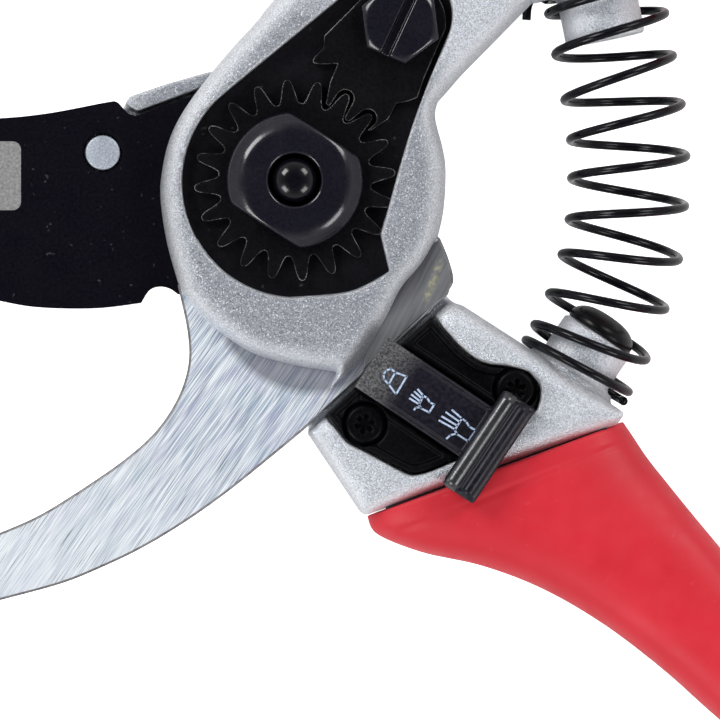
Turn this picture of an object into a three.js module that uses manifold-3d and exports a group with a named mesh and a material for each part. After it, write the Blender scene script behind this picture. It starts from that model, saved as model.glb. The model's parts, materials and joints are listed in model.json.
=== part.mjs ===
// Bypass pruner lying open on its side. Millimetres, +Z up.
// The origin is on the pivot axis, in the outer face of the pivot bolt's head.
// The hook half is fixed in this frame. The blade half turns about +Z to close.
import * as THREE from 'three';
import { mergeVertices } from 'three/addons/utils/BufferGeometryUtils.js';
import Module from 'manifold-3d';

const wasm = await Module();
wasm.setup();

// ---- Driving dimensions ----

// Heights of the stacked layers, from the bolt head upwards.
const HEAD_TOP = 2.5;
const PLATE_BOTTOM = 1.5;
const PLATE_TOP = 6.5;
const BLADE_BOTTOM = 6.6;
const BLADE_TOP = 9.6;
const HOOK_BOTTOM = 9.9;
const HOOK_TOP = 14.9;
const BODY_TOP = 17.6;
const SHOULDER_TOP = 17;
const RECESS_FLOOR = 14.1;
const GEAR_BOTTOM = 15;
const GEAR_TOP = 16.5;
const NUT_TOP = 20;
const SLIDER_BOTTOM = 17.9;
const SLIDER_TOP = 19.7;
const GRIP_BOTTOM = 0.6;
const GRIP_TOP = 17.4;

const SHANK_R = 3.5;
const BUSHING_R = 4.7;
const HEAD_R = 8.5;
const NUT_R = 9.1;
const NUT_HALF_FLATS = 7.27;
const NUT_TURN = -33; // degrees, direction of the two flats
const GEAR_TEETH = 20;
const GEAR_TIP_R = 13.2;
const GEAR_ROOT_R = 10.5;
const GEAR_TURN = 94.4; // degrees, direction of one tooth

const LOCK_SCREW = [14, 20.95];
const LOCK_SCREW_R = 5.6; // to the corners of its hexagon head
const LOCK_SCREW_TURN = 7; // degrees, the head's corners from those of an upright hexagon
const LOCK_SLOT_TURN = 65; // degrees
const RECESS_END = [14, 21.9]; // middle of the teardrop's small end

const SHOULDER_NORMAL = -47.3; // degrees, where the straight shoulder of the blade half faces
const HOOK_REACH = 25.2; // pivot axis to the hook half's edge along the shoulder
const BLOCK_REACH = 25.8; // pivot axis to the blade half's shoulder
const CATCH_TURN = -33.8; // degrees, direction in which the catch slides outwards
const CATCH_CENTRE = [10.4, -24.3]; // middle of the slider's inner end

// Spring bosses: middle of the end face, direction of the axis in degrees, radius, height over the seat.
const BOSS_UPPER = { end: [41.5, 18.8], turn: -78.5, radius: 5.35, height: 6.7 };
const BOSS_LOWER = { end: [40.5, -20.5], turn: 56, radius: 5.15, height: 6.8 };
const BOSS_Z = 9.4;
const SPRING_R = 7.7;
const WIRE_R = 0.6;
const SPRING_TURNS = 10.5;
const SPRING_AXIS = [
  [40.6, 24.4],
  [41.1, 22.4],
  [42.5, 16.5],
  [43.8, 10.5],
  [44.5, 4.4],
  [44.5, -1.7],
  [43.7, -9],
  [42.1, -15.7],
  [40.1, -21],
  [37.7, -25.2],
];

// The two grips are mirror images across this line when the tool is closed.
const CLOSING = 44; // degrees the blade half turns to close
const MIRROR_POINT = [42.5, 17];
const MIRROR_TURN = 14; // degrees

// ---- Outlines and solids ----

const CURVE_STEPS = 3; // straight pieces between two points of a curved run

const radians = THREE.MathUtils.degToRad;

function polar(radius, degrees, [x, y] = [0, 0]) {
  return [x + radius * Math.cos(radians(degrees)), y + radius * Math.sin(radians(degrees))];
}

/** Point at a distance along and across the straight shoulder; along grows up and to the right. */
function onShoulder(along, across) {
  return polar(along, SHOULDER_NORMAL + 90, polar(across, SHOULDER_NORMAL));
}

/** Point of the catch: along runs outwards from the slider's inner end, across to its left. */
function onCatch(along, across) {
  return polar(across, CATCH_TURN + 90, polar(along, CATCH_TURN, CATCH_CENTRE));
}

function turned([x, y], degrees) {
  return polar(Math.hypot(x, y), THREE.MathUtils.radToDeg(Math.atan2(y, x)) + degrees);
}

function mirrored([x, y]) {
  const normal = new THREE.Vector2(...polar(1, MIRROR_TURN + 90));
  const offset = new THREE.Vector2(x - MIRROR_POINT[0], y - MIRROR_POINT[1]).dot(normal);
  return [x - 2 * offset * normal.x, y - 2 * offset * normal.y];
}

const line = (...points) => ({ curved: false, points });
const curve = (...points) => ({ curved: true, points });

function arc(radius, from, to, centre = [0, 0], steps = 8) {
  const points = [];
  for (let i = 0; i <= steps; i += 1) {
    points.push(polar(radius, from + ((to - from) * i) / steps, centre));
  }
  return line(...points);
}

/** Closed outline through straight and curved runs, one after the other. */
function outline(...runs) {
  const points = [];
  runs.forEach(({ curved, points: given }) => {
    const vectors = given.map(([x, y]) => new THREE.Vector2(x, y));
    if (!curved) {
      points.push(...vectors);
      return;
    }
    const through = points.length > 0 ? [points[points.length - 1], ...vectors] : vectors;
    points.push(...new THREE.SplineCurve(through).getPoints(CURVE_STEPS * (through.length - 1)));
  });
  const apart = points.filter((point, i) => {
    const previous = points[(i + points.length - 1) % points.length];
    return point.distanceTo(previous) > 0.05;
  });
  return new THREE.Shape(apart);
}

function circle(radius, centre = [0, 0]) {
  return new THREE.Shape().absarc(centre[0], centre[1], radius, 0, 2 * Math.PI);
}

/** Plate between two heights, its edges rounded by the bevel and its sides set in by the inset. */
function slab(shape, bottom, top, bevel = 0, inset = 0, bevelSegments = 2) {
  const geometry = new THREE.ExtrudeGeometry(shape, {
    depth: top - bottom - 2 * bevel,
    bevelEnabled: bevel > 0,
    bevelThickness: bevel,
    bevelSize: bevel,
    bevelOffset: -bevel - inset,
    bevelSegments,
  });
  return geometry.translate(0, 0, bottom + bevel);
}

/** Body of revolution about +Z; the profile runs up its outer side as [radius, height]. */
function lathe(profile, segments = 32) {
  const points = profile.map(([r, z]) => new THREE.Vector2(r, z));
  return new THREE.LatheGeometry(points, segments).rotateX(Math.PI / 2);
}

function ring(inner, outer, bottom, top, segments = 40) {
  const profile = [[inner, bottom], [outer, bottom], [outer, top], [inner, top], [inner, bottom]];
  return lathe(profile, segments);
}

function rod(radius, bottom, top, [x, y] = [0, 0], segments = 32) {
  const profile = [[0, bottom], [radius, bottom], [radius, top], [0, top]];
  return lathe(profile, segments).translate(x, y, 0);
}

function toSolid(geometry) {
  const bare = geometry.clone();
  bare.deleteAttribute('normal');
  bare.deleteAttribute('uv');
  const merged = mergeVertices(bare, 1e-4);
  return new wasm.Manifold(
    new wasm.Mesh({
      numProp: 3,
      vertProperties: merged.attributes.position.array,
      triVerts: new Uint32Array(merged.index.array),
    }),
  );
}

function toGeometry(solid) {
  const mesh = solid.getMesh();
  const geometry = new THREE.BufferGeometry();
  geometry.setAttribute('position', new THREE.BufferAttribute(mesh.vertProperties, 3));
  geometry.setIndex(new THREE.BufferAttribute(mesh.triVerts, 1));
  const flat = geometry.toNonIndexed();
  flat.computeVertexNormals();
  return flat;
}

function build(added, removed = []) {
  let solid = toSolid(added[0]);
  added.slice(1).forEach((geometry) => {
    solid = solid.add(toSolid(geometry));
  });
  removed.forEach((geometry) => {
    solid = solid.subtract(toSolid(geometry));
  });
  return toGeometry(solid);
}

/** Plate whose upper edge alone is rounded. */
function crowned(shape, bottom, top, bevel) {
  const plate = slab(shape, bottom - 2 * bevel, top, bevel);
  const below = new THREE.BoxGeometry(600, 600, 20).translate(0, 0, bottom - 10);
  return build([plate], [below]);
}

/** Turns a body made about +Z so that its axis lies flat in the given direction. */
function laidDown(geometry, [x, y], degrees) {
  return geometry
    .rotateY(Math.PI / 2)
    .rotateZ(radians(degrees))
    .translate(x, y, BOSS_Z);
}

function mesh(name, geometry, color, roughness, metalness) {
  const material = new THREE.MeshStandardMaterial({ color, roughness, metalness });
  const part = new THREE.Mesh(geometry, material);
  part.name = name;
  return part;
}

const SILVER = '#b9bcc2';
const BLACK = '#15151a';
const RED = '#d32a38';

// ---- Shared outlines ----

// Sections of the blade half's grip from its flared front edge to its end, each as the
// two points where the section meets the outer and the inner side of the handle.
const GRIP_SECTIONS = [
  [[10.2, -45.6], [43.6, -33.3]],
  [[11.2, -47.4], [44.9, -34.2]],
  [[17, -49.6], [47, -36.9]],
  [[25, -51.4], [49.6, -40.2]],
  [[33.1, -54.5], [52.6, -43.9]],
  [[41.2, -59.2], [56, -48]],
  [[49.2, -65.3], [61.6, -54.6]],
  [[57, -72.2], [68.4, -61]],
  [[66.6, -79.6], [76.6, -67.2]],
  [[78, -86.4], [86, -72.6]],
  [[90.6, -92.2], [96, -77]],
  [[101, -95.6], [104.4, -81]],
  [[105.6, -95], [108.2, -84.4]],
  [[108.6, -92.4], [109.6, -87.6]],
];
const GRIP_END_TAPER = [0.45, 0.82]; // thickness of the last sections, counted from the end
const GRIP_SIDES = 20; // points round each section
const GRIP_SQUARENESS = 0.62; // 1 is an ellipse, smaller is squarer

/** Tang inside that grip, from the forging's end to three quarters of the grip. */
function lowerTangRun() {
  return [
    [21, -37],
    [41, -30],
    [46, -39.5],
    [53.5, -49],
    [61, -57.5],
    [72, -67],
    [84, -74.6],
    [81, -81],
    [68, -73.6],
    [56, -63.6],
    [47, -55],
    [36, -48.5],
    [26, -45],
  ];
}

function toUpper(points) {
  return points.map((point) => mirrored(turned(point, CLOSING)));
}

function same(points) {
  return points;
}

/** Soft grip drawn through its sections, closed by a cap at each end. */
function gripGeometry(place) {
  const middle = (GRIP_TOP + GRIP_BOTTOM) / 2;
  const sections = GRIP_SECTIONS.map((pair) => place(pair));
  const vertices = [];
  sections.forEach(([outer, inner], index) => {
    const fromEnd = sections.length - 1 - index;
    const half = ((GRIP_TOP - GRIP_BOTTOM) / 2) * (GRIP_END_TAPER[fromEnd] ?? 1);
    for (let i = 0; i < GRIP_SIDES; i += 1) {
      const angle = (2 * Math.PI * i) / GRIP_SIDES;
      const [c, h] = [Math.cos(angle), Math.sin(angle)];
      const across = 0.5 + 0.5 * Math.sign(c) * Math.abs(c) ** GRIP_SQUARENESS;
      const x = THREE.MathUtils.lerp(outer[0], inner[0], across);
      const y = THREE.MathUtils.lerp(outer[1], inner[1], across);
      vertices.push(x, y, middle + half * Math.sign(h) * Math.abs(h) ** GRIP_SQUARENESS);
    }
  });
  const triangles = [];
  for (let ringStart = 0; ringStart < (sections.length - 1) * GRIP_SIDES; ringStart += GRIP_SIDES) {
    for (let i = 0; i < GRIP_SIDES; i += 1) {
      const a = ringStart + i;
      const b = ringStart + ((i + 1) % GRIP_SIDES);
      triangles.push(a, b, b + GRIP_SIDES, a, b + GRIP_SIDES, a + GRIP_SIDES);
    }
  }
  const last = (sections.length - 1) * GRIP_SIDES;
  for (let i = 1; i < GRIP_SIDES - 1; i += 1) {
    triangles.push(0, i + 1, i);
    triangles.push(last, last + i, last + i + 1);
  }
  const geometry = new THREE.BufferGeometry();
  geometry.setAttribute('position', new THREE.Float32BufferAttribute(vertices, 3));
  if (place === toUpper) triangles.reverse(); // a mirror image turns its faces inside out
  geometry.setIndex(triangles);
  return geometry;
}

function tangShape(place) {
  return outline(line(...place(lowerTangRun())));
}

/** The tang with a clearance all round, which the grip is hollowed by. */
function tangPocket(place) {
  return slab(tangShape(place), 5.5, 12.5, 0.3, -0.5, 1);
}

function toothedShape(tip, root, growth = 0) {
  const shape = new THREE.Shape();
  const pitch = 360 / GEAR_TEETH;
  for (let i = 0; i < GEAR_TEETH; i += 1) {
    const middle = GEAR_TURN + i * pitch;
    const corners = [
      polar(root, middle - 0.36 * pitch),
      polar(tip, middle - 0.1 * pitch - growth),
      polar(tip, middle + 0.1 * pitch + growth),
      polar(root, middle + 0.36 * pitch),
    ];
    corners.forEach(([x, y], corner) => {
      if (i === 0 && corner === 0) shape.moveTo(x, y);
      else shape.lineTo(x, y);
    });
  }
  shape.closePath();
  return shape;
}

function twoFlats(radius, halfFlats, steps = 10) {
  const half = THREE.MathUtils.radToDeg(Math.acos(halfFlats / radius));
  const right = arc(radius, NUT_TURN - 90 + half, NUT_TURN + 90 - half, [0, 0], steps);
  const left = arc(radius, NUT_TURN + 90 + half, NUT_TURN + 270 - half, [0, 0], steps);
  return outline(right, left);
}

/** Teardrop pocket in the hook half's body that holds the adjuster. */
function recessShape() {
  return outline(
    arc(15.3, 128, 266, [0.3, -0.3], 18),
    curve([6.2, -15], [9.5, -13.9], [12.6, -12.1]),
    line([11.7, -7.3]),
    curve([12.9, -3], [14, 1.7], [15.7, 7.5], [17.7, 13.2]),
    arc(6.9, -18, 122, RECESS_END, 12),
  );
}

// ---- Hook half ----

const BODY_START = [-15.1, -15.1];

function bodyShape() {
  return outline(
    curve(BODY_START, [-12.1, -18.6], [-9.4, -20.8], [-5.3, -23.3], [0.7, -24.9], [5.4, -25.6]),
    line(onShoulder(-16.5, 23.8), onShoulder(-9.5, 23.8)),
    curve([12.3, -18.5], [14.4, -14.4], [17, -11.3], [18.9, -8.1]),
    curve([19.8, -4], [20.1, 1.2], [19.7, 4.3], [18.7, 8.3], [19, 10.4]),
    line([22, 14], [31.6, 23.8], [48.3, 27.1], [48, 31], [19, 52.2]),
    line([8, 38.4], [-2.7, 24.1], [-8.05, 18]),
    curve([-11.1, 14.4], [-14.7, 9.5], [-16.7, 5.5], [-17.7, 1.2], [-17.9, -2.5], [-17, -8.5], BODY_START),
  );
}

function hookShape() {
  return outline(
    line([0, 0], [19.3, -7.6]),
    curve([20.5, -10.6], [21.1, -13.4], polar(25.1, -37)),
    line(onShoulder(1, HOOK_REACH), onShoulder(-21.9, HOOK_REACH)),
    curve(
      ...[[-4, -37.4], [-9.4, -41.7], [-14.8, -45.5], [-20.3, -48.8]],
      ...[[-25.7, -51.4], [-31.2, -53.6], [-39.3, -55.8]],
    ),
    curve([-46, -56.9], [-52, -56.9], [-57, -55.5], [-58.6, -53.4]),
    curve([-56.5, -51.7], [-50, -50.3], [-45, -48.9], [-39.3, -46.9], [-33.9, -44.5], [-28.5, -41.2]),
    curve([-23, -37.4], [-18.7, -33.6], [-15.7, -29.2], [-14.2, -24.6], [-14.3, -20], [-15.6, -14]),
    line([-14, -8]),
  );
}

/** Full-thickness stretch of the upper handle, outside the circle in which the blade half turns. */
function upperNeckShape() {
  return outline(
    arc(22.6, 101, 30, [0, 0], 10),
    line([22, 14], [31.6, 23.8], [48.3, 27.1], [48, 31], [19, 52.2], [8, 38.4], [-2.7, 24.1]),
  );
}

function boss({ end, turn, radius, height }) {
  const profile = [[0, -height - 3], [radius, -height - 3], [radius, -0.5], [radius - 0.5, 0], [0, 0]];
  return laidDown(lathe(profile, 28), end, turn);
}

function hookForging() {
  const added = [
    crowned(bodyShape(), HOOK_BOTTOM, BODY_TOP, 0.6),
    crowned(hookShape(), HOOK_BOTTOM, HOOK_TOP, 0.4),
    slab(upperNeckShape(), PLATE_BOTTOM, BODY_TOP - 1, 0.5),
    slab(tangShape(toUpper), 6, 12),
    boss(BOSS_UPPER),
  ];
  const removed = [
    slab(recessShape(), RECESS_FLOOR, BODY_TOP + 5),
    rod(SHANK_R + 0.15, 0, 30),
    rod(9.2, HOOK_BOTTOM - 1, HOOK_BOTTOM + 0.5),
    rod(2.6, RECESS_FLOOR - 3.4, RECESS_FLOOR + 1, LOCK_SCREW, 20),
  ];
  return build(added, removed);
}

function pivotBolt() {
  const bolt = lathe([
    [0, 0],
    [HEAD_R - 0.7, 0],
    [HEAD_R, 0.7],
    [HEAD_R, HEAD_TOP],
    [SHANK_R, HEAD_TOP],
    [SHANK_R, NUT_TOP - 0.9],
    [SHANK_R - 0.7, NUT_TOP - 0.2],
    [1.4, NUT_TOP + 0.3],
    [0, NUT_TOP + 0.4],
  ], 40);
  return build([bolt]);
}

function pivotNut() {
  const flatted = slab(twoFlats(NUT_R, NUT_HALF_FLATS), GEAR_BOTTOM + 0.1, NUT_TOP, 0.5);
  const cone = lathe([
    [0, GEAR_BOTTOM],
    [NUT_R + 1, GEAR_BOTTOM],
    [NUT_R + 1, NUT_TOP - 2.4],
    [NUT_R - 1.9, NUT_TOP + 0.1],
    [0, NUT_TOP + 0.1],
  ], 40);
  const trimmed = toGeometry(toSolid(flatted).intersect(toSolid(cone)));
  const bore = lathe([
    [0, 0],
    [SHANK_R + 0.1, 0],
    [SHANK_R + 0.1, NUT_TOP - 0.5],
    [SHANK_R + 0.9, NUT_TOP + 0.3],
    [0, NUT_TOP + 0.3],
  ], 40);
  return build([trimmed], [bore]);
}

function adjusterGear() {
  const plate = slab(toothedShape(GEAR_TIP_R, GEAR_ROOT_R), GEAR_BOTTOM, GEAR_TOP);
  const opening = slab(twoFlats(NUT_R + 0.2, NUT_HALF_FLATS + 0.15), 0, 30);
  return build([plate], [opening]);
}

function adjusterPlate() {
  const plate = slab(recessShape(), RECESS_FLOOR + 0.05, GEAR_BOTTOM - 0.05, 0.1, 0.3, 1);
  return build([plate], [rod(SHANK_R + 0.3, 0, 30), rod(3, 0, 30, LOCK_SCREW, 20)]);
}

function lockingSegment() {
  const plate = outline(
    arc(6.1, 149, -8, LOCK_SCREW, 12),
    line([17.2, 13.6], [16.3, 11], [15.1, 10.5], [13.5, 10.2], [12.4, 8.1]),
    line(polar(11, 33), polar(11, 68), [4.7, 13.1], [5.7, 15.5]),
    curve([2.8, 15.5], [2.5, 16.2], [3.8, 17.6]),
    line([3.9, 19.2]),
  );
  const cutters = [
    slab(toothedShape(GEAR_TIP_R + 0.35, GEAR_ROOT_R + 0.35, 0.9), 0, 30),
    rod(3, 0, 30, LOCK_SCREW, 20),
  ];
  return build([slab(plate, GEAR_BOTTOM, GEAR_TOP)], cutters);
}

function lockingScrew() {
  const [x, y] = LOCK_SCREW;
  const screw = lathe([
    [0, RECESS_FLOOR - 3],
    [2.4, RECESS_FLOOR - 3],
    [2.4, GEAR_TOP + 0.1],
    [LOCK_SCREW_R, GEAR_TOP + 0.1],
    [LOCK_SCREW_R, GEAR_TOP + 2.1],
    [LOCK_SCREW_R - 0.5, GEAR_TOP + 2.5],
    [0, GEAR_TOP + 2.7],
  ], 6).rotateZ(radians(LOCK_SCREW_TURN)).translate(x, y, 0);
  const slot = new THREE.BoxGeometry(20, 1.2, 2.4)
    .rotateZ(radians(LOCK_SLOT_TURN))
    .translate(x, y, GEAR_TOP + 2.7);
  return build([screw], [slot]);
}

/** Wire wound about a bowed centre line, its first and last turns closed up. */
class CoilCurve extends THREE.Curve {
  constructor() {
    super();
    const points = SPRING_AXIS.map(([x, y]) => new THREE.Vector3(x, y, BOSS_Z));
    this.axis = new THREE.CatmullRomCurve3(points);
    this.shares = [0];
    for (let i = 1; i <= 420; i += 1) {
      const turn = (i / 420) * SPRING_TURNS;
      const opening = Math.min(turn, SPRING_TURNS - turn);
      const pitch = THREE.MathUtils.lerp(0.32, 1, THREE.MathUtils.smoothstep(opening, 0.5, 1.4));
      this.shares.push(this.shares[i - 1] + pitch);
    }
  }

  getPoint(t, target = new THREE.Vector3()) {
    const place = Math.min(t, 1) * 420;
    const low = Math.min(Math.floor(place), 419);
    const share = THREE.MathUtils.lerp(this.shares[low], this.shares[low + 1], place - low);
    const along = share / this.shares[420];
    const direction = this.axis.getTangentAt(along);
    const outward = new THREE.Vector3(-direction.y, direction.x, 0);
    const angle = Math.PI + 2 * Math.PI * SPRING_TURNS * t;
    return target
      .copy(this.axis.getPointAt(along))
      .addScaledVector(outward, SPRING_R * Math.cos(angle))
      .add(new THREE.Vector3(0, 0, SPRING_R * Math.sin(angle)));
  }
}

function returnSpring() {
  const geometry = new THREE.ExtrudeGeometry(circle(WIRE_R), {
    extrudePath: new CoilCurve(),
    steps: 210,
    bevelEnabled: false,
    curveSegments: 3,
  });
  return build([geometry]);
}

function grip(place) {
  return build([gripGeometry(place)], [tangPocket(place)]);
}

// ---- Blade half ----

const BLADE_PIN = [-25.7, 3.8];
const GRIND_WIDTH = 7;
const CUTTING_EDGE = [
  [-20.6, -16.3],
  [-26.5, -17],
  [-33.9, -16.9],
  [-39.3, -16.05],
  [-50, -13.6],
  [-60, -9.8],
  [-68, -5.2],
  [-75, 0.5],
];

function bladeShape() {
  return outline(
    line([-22.3, 9], [-21.3, 8.7], [-13.3, 11.5]),
    arc(16.8, 132, -108, [0, 0], 26),
    curve([-9.5, -16.2], [-15.7, -15.1]),
    curve([-16.7, -14.4], [-18.1, -14.1], [-19.5, -14.6], [-20.6, -16.3]),
    curve(...CUTTING_EDGE.slice(1)),
    curve(
      ...[[-70, 3.8], [-62, 6.3], [-50, 8], [-39.3, 8.4]],
      ...[[-32.7, 9.1], [-25.3, 10.5], [-23.9, 10.6], [-23.1, 9.9]],
    ),
  );
}

/** Three-sided bar along the cutting edge that grinds the blade's underside up to the edge. */
function grindCutter() {
  const edgeHeight = BLADE_TOP - 0.35;
  const low = BLADE_BOTTOM - 0.2;
  const path = [[-19.6, -16.4], ...CUTTING_EDGE.slice(1), [-79, 3.7]];
  const vertices = [];
  path.forEach(([x, y], i) => {
    const [nextX, nextY] = path[Math.min(i + 1, path.length - 1)];
    const [backX, backY] = path[Math.max(i - 1, 0)];
    const width = GRIND_WIDTH * Math.min(1, (path.length - i) / 6); // narrower towards the tip
    const outward = new THREE.Vector2(backY - nextY, nextX - backX).normalize().multiplyScalar(width);
    vertices.push(x - outward.x, y - outward.y, low);
    vertices.push(x + outward.x, y + outward.y, low);
    vertices.push(x + outward.x, y + outward.y, 2 * edgeHeight - low);
  });
  const triangles = [];
  for (let i = 0; i < path.length - 1; i += 1) {
    for (let side = 0; side < 3; side += 1) {
      const a = 3 * i + side;
      const b = 3 * i + ((side + 1) % 3);
      triangles.push(a, b, b + 3, a, b + 3, a + 3);
    }
  }
  const last = 3 * (path.length - 1);
  triangles.push(0, 2, 1, last, last + 1, last + 2);
  const geometry = new THREE.BufferGeometry();
  geometry.setAttribute('position', new THREE.Float32BufferAttribute(vertices, 3));
  geometry.setIndex(triangles);
  return geometry;
}

function cuttingBlade() {
  const plate = slab(bladeShape(), BLADE_BOTTOM, BLADE_TOP);
  const removed = [
    rod(BUSHING_R + 0.1, 0, 30, [0, 0], 40),
    rod(2.4, 0, 30, BLADE_PIN, 24),
    grindCutter(),
  ];
  return build([plate], removed);
}

/** Block beyond the straight shoulder, full thickness, that carries the catch and the lower boss. */
function shoulderShape() {
  return outline(
    line(
      onShoulder(-21.6, BLOCK_REACH),
      onShoulder(4.2, BLOCK_REACH),
      [22.3, -16.6],
      [29.9, -21.5],
      [44, -31],
      [42.9, -32.5],
      [27, -38.2],
      [9.4, -44.6],
      [8.7, -44.2],
    ),
  );
}

/** Thin plate under the blade, from the shoulder block round the pivot and out to the blade's pin. */
function backPlateShape() {
  return outline(
    line(onShoulder(-21, 28), onShoulder(-21, BLOCK_REACH)),
    curve([-4.5, -22.5], [-12, -15.6], [-20, -8.5], [-27.5, -1.6], [-29.3, 4.5], [-27, 8]),
    line([-23.4, 8.6], [-22.8, 10.3], [-22.2, 11.2], [-11.3, 14.4]),
    arc(18.4, 127, -30, [0, 0], 18),
    line([21, -16.4], [24, -24]),
  );
}

/** Raised rib against which the back of the blade seats. */
function ribShape() {
  return outline(
    line([-21.1, 9.3], [-22.7, 10.3], [-22.2, 11.2], [-17.9, 12.4]),
    line([-11.3, 14.4], [-10.2, 13.4], [-13.5, 12.1]),
  );
}

/** Pocket in the shoulder block, open towards the body, that takes the catch's housing. */
function housingShape() {
  return outline(
    line(onShoulder(-18.2, 25.4), onShoulder(1.3, 25.4), onShoulder(1.2, 28.8)),
    curve([22.8, -22.8], [25.3, -24.3], [28.4, -24.7], [31.1, -25.4]),
    curve([32.7, -27.7], [32.2, -30.6]),
    line([21.6, -37.2]),
    curve([18.3, -38.6], [16, -39.2], [14.4, -38.8], [10.1, -36.5]),
    line([6.9, -34.9]),
  );
}

const CATCH_SCREWS = [[9.3, -32.4], [29.3, -27.8]];
const DETENT = onCatch(11, 0);
const DETENT_Z = 15.1; // middle of the ball, pressed down to where the slider passes over it

function bladeForging() {
  const added = [
    slab(shoulderShape(), PLATE_BOTTOM, SHOULDER_TOP, 0.5),
    slab(backPlateShape(), PLATE_BOTTOM, PLATE_TOP, 0.4),
    slab(ribShape(), PLATE_TOP - 1, BLADE_TOP),
    slab(tangShape(same), 6, 12),
    boss(BOSS_LOWER),
  ];
  const removed = [
    rod(BUSHING_R + 0.1, 0, 30, [0, 0], 40),
    rod(HEAD_R + 0.7, 0, 3.1, [0, 0], 40),
    rod(2.4, 4, 30, BLADE_PIN, 24),
    slab(housingShape(), 13.5, 30),
    ...CATCH_SCREWS.map((centre) => rod(1.5, 8, 14, centre, 20)),
    rod(1.9, 9.5, 14, DETENT, 20),
    laidDown(rod(1.9, -8, 1), BOSS_LOWER.end, BOSS_LOWER.turn),
  ];
  return build(added, removed);
}

function bladePin() {
  return build([rod(2.3, 4.05, BLADE_TOP - 0.02, BLADE_PIN, 24)]);
}

function pivotBushing() {
  return build([ring(SHANK_R + 0.08, BUSHING_R, 3.12, BLADE_TOP - 0.05, 40)]);
}

function frictionWasher() {
  return build([ring(BUSHING_R + 0.3, 8.6, BLADE_TOP + 0.05, HOOK_BOTTOM + 0.4, 40)]);
}

function boltWasher() {
  return build([ring(SHANK_R + 0.1, HEAD_R - 0.3, HEAD_TOP + 0.05, 3.05, 40)]);
}

function bumper() {
  const profile = [
    [0, -7.2],
    [1.7, -7.2],
    [1.7, 0.08],
    [4.5, 0.08],
    [4.4, 0.8],
    [3.6, 1.6],
    [2.2, 2.1],
    [0, 2.3],
  ];
  return build([laidDown(lathe(profile, 28), BOSS_LOWER.end, BOSS_LOWER.turn)]);
}

function catchHousing() {
  const plate = slab(housingShape(), 13.55, 16.6, 0.3, 0.25, 1);
  const [x, y] = onCatch(12, 0);
  const channel = new THREE.BoxGeometry(40, 8, 4).rotateZ(radians(CATCH_TURN)).translate(x, y, 18.1);
  const removed = [
    channel,
    ...CATCH_SCREWS.flatMap((centre) => [rod(1.6, 8, 30, centre, 20), rod(2.9, 15.3, 30, centre, 24)]),
    rod(1.9, 8, 30, DETENT, 20),
  ];
  return build([plate], removed);
}

function catchScrew(centre) {
  const screw = lathe([
    [0, 8.3],
    [1.3, 8.3],
    [1.3, 15.4],
    [2.6, 15.4],
    [2.6, 16.4],
    [2.1, 16.9],
    [0, 17],
  ], 24).translate(centre[0], centre[1], 0);
  const arms = [0, 60, 120].map((turn) =>
    new THREE.BoxGeometry(2.6, 0.55, 1.6).rotateZ(radians(turn)).translate(centre[0], centre[1], 16.9),
  );
  return build([screw], arms);
}

function detentBall() {
  const [x, y] = DETENT;
  return build([new THREE.SphereGeometry(1.6, 20, 12).translate(x, y, DETENT_Z)]);
}

/** Short helix under the ball, pressing it up against the slider. */
class DetentCurve extends THREE.Curve {
  getPoint(t, target = new THREE.Vector3()) {
    const [x, y] = polar(1.3, 360 * 4 * t, DETENT);
    return target.set(x, y, THREE.MathUtils.lerp(9.9, DETENT_Z - 1.4, t));
  }
}

function detentSpring() {
  const geometry = new THREE.ExtrudeGeometry(circle(0.22), {
    extrudePath: new DetentCurve(),
    steps: 64,
    bevelEnabled: false,
    curveSegments: 3,
  });
  return build([geometry]);
}

// ---- Catch ----

/** Bar that slides towards the body, with a ribbed thumb piece across its outer end. */
function catchSlider() {
  const bar = outline(line(onCatch(0, -3.75), onCatch(17, -3.75), onCatch(17, 3.75), onCatch(0, 3.75)));
  const thumb = outline(line(onCatch(16, -7.85), onCatch(21, -7.85), onCatch(21, 7.85), onCatch(16, 7.85)));
  const grooves = [17.8, 19.4].map((along) => {
    const [x, y] = onCatch(along, 0);
    return new THREE.BoxGeometry(0.6, 30, 1.2).rotateZ(radians(CATCH_TURN)).translate(x, y, 22.4);
  });
  const [x, y] = onCatch(10.6, 0);
  const keel = new THREE.BoxGeometry(8.6, 3.4, 1.6).rotateZ(radians(CATCH_TURN)).translate(x, y, 17.4);
  const [dimpleX, dimpleY] = DETENT;
  const dimples = [0, 2.65, 5.3].map((along) => {
    const [shiftX, shiftY] = polar(along, CATCH_TURN);
    return new THREE.SphereGeometry(1.95, 24, 14).translate(dimpleX + shiftX, dimpleY + shiftY, 15.45);
  });
  const added = [
    slab(bar, SLIDER_BOTTOM, SLIDER_TOP, 0.35),
    slab(thumb, SLIDER_BOTTOM, 22.2, 0.7),
    keel,
  ];
  return build(added, [...grooves, ...dimples]);
}

// ---- Assembly ----

const pruner = new THREE.Group();

const hookHalf = new THREE.Group();
hookHalf.add(mesh('hook_forging', hookForging(), SILVER, 0.38, 0.9));
hookHalf.add(mesh('upper_grip', grip(toUpper), RED, 0.5, 0));
hookHalf.add(mesh('pivot_bolt', pivotBolt(), BLACK, 0.35, 0.6));
hookHalf.add(mesh('bolt_washer', boltWasher(), '#8f9196', 0.4, 1));
hookHalf.add(mesh('pivot_nut', pivotNut(), BLACK, 0.35, 0.6));
hookHalf.add(mesh('adjuster_plate', adjusterPlate(), BLACK, 0.6, 0.3));
hookHalf.add(mesh('adjuster_gear', adjusterGear(), '#1c1b1f', 0.45, 0.6));
hookHalf.add(mesh('locking_segment', lockingSegment(), '#1a191d', 0.45, 0.6));
hookHalf.add(mesh('locking_screw', lockingScrew(), '#18181c', 0.35, 0.6));
hookHalf.add(mesh('return_spring', returnSpring(), '#101014', 0.4, 0.5));

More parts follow.
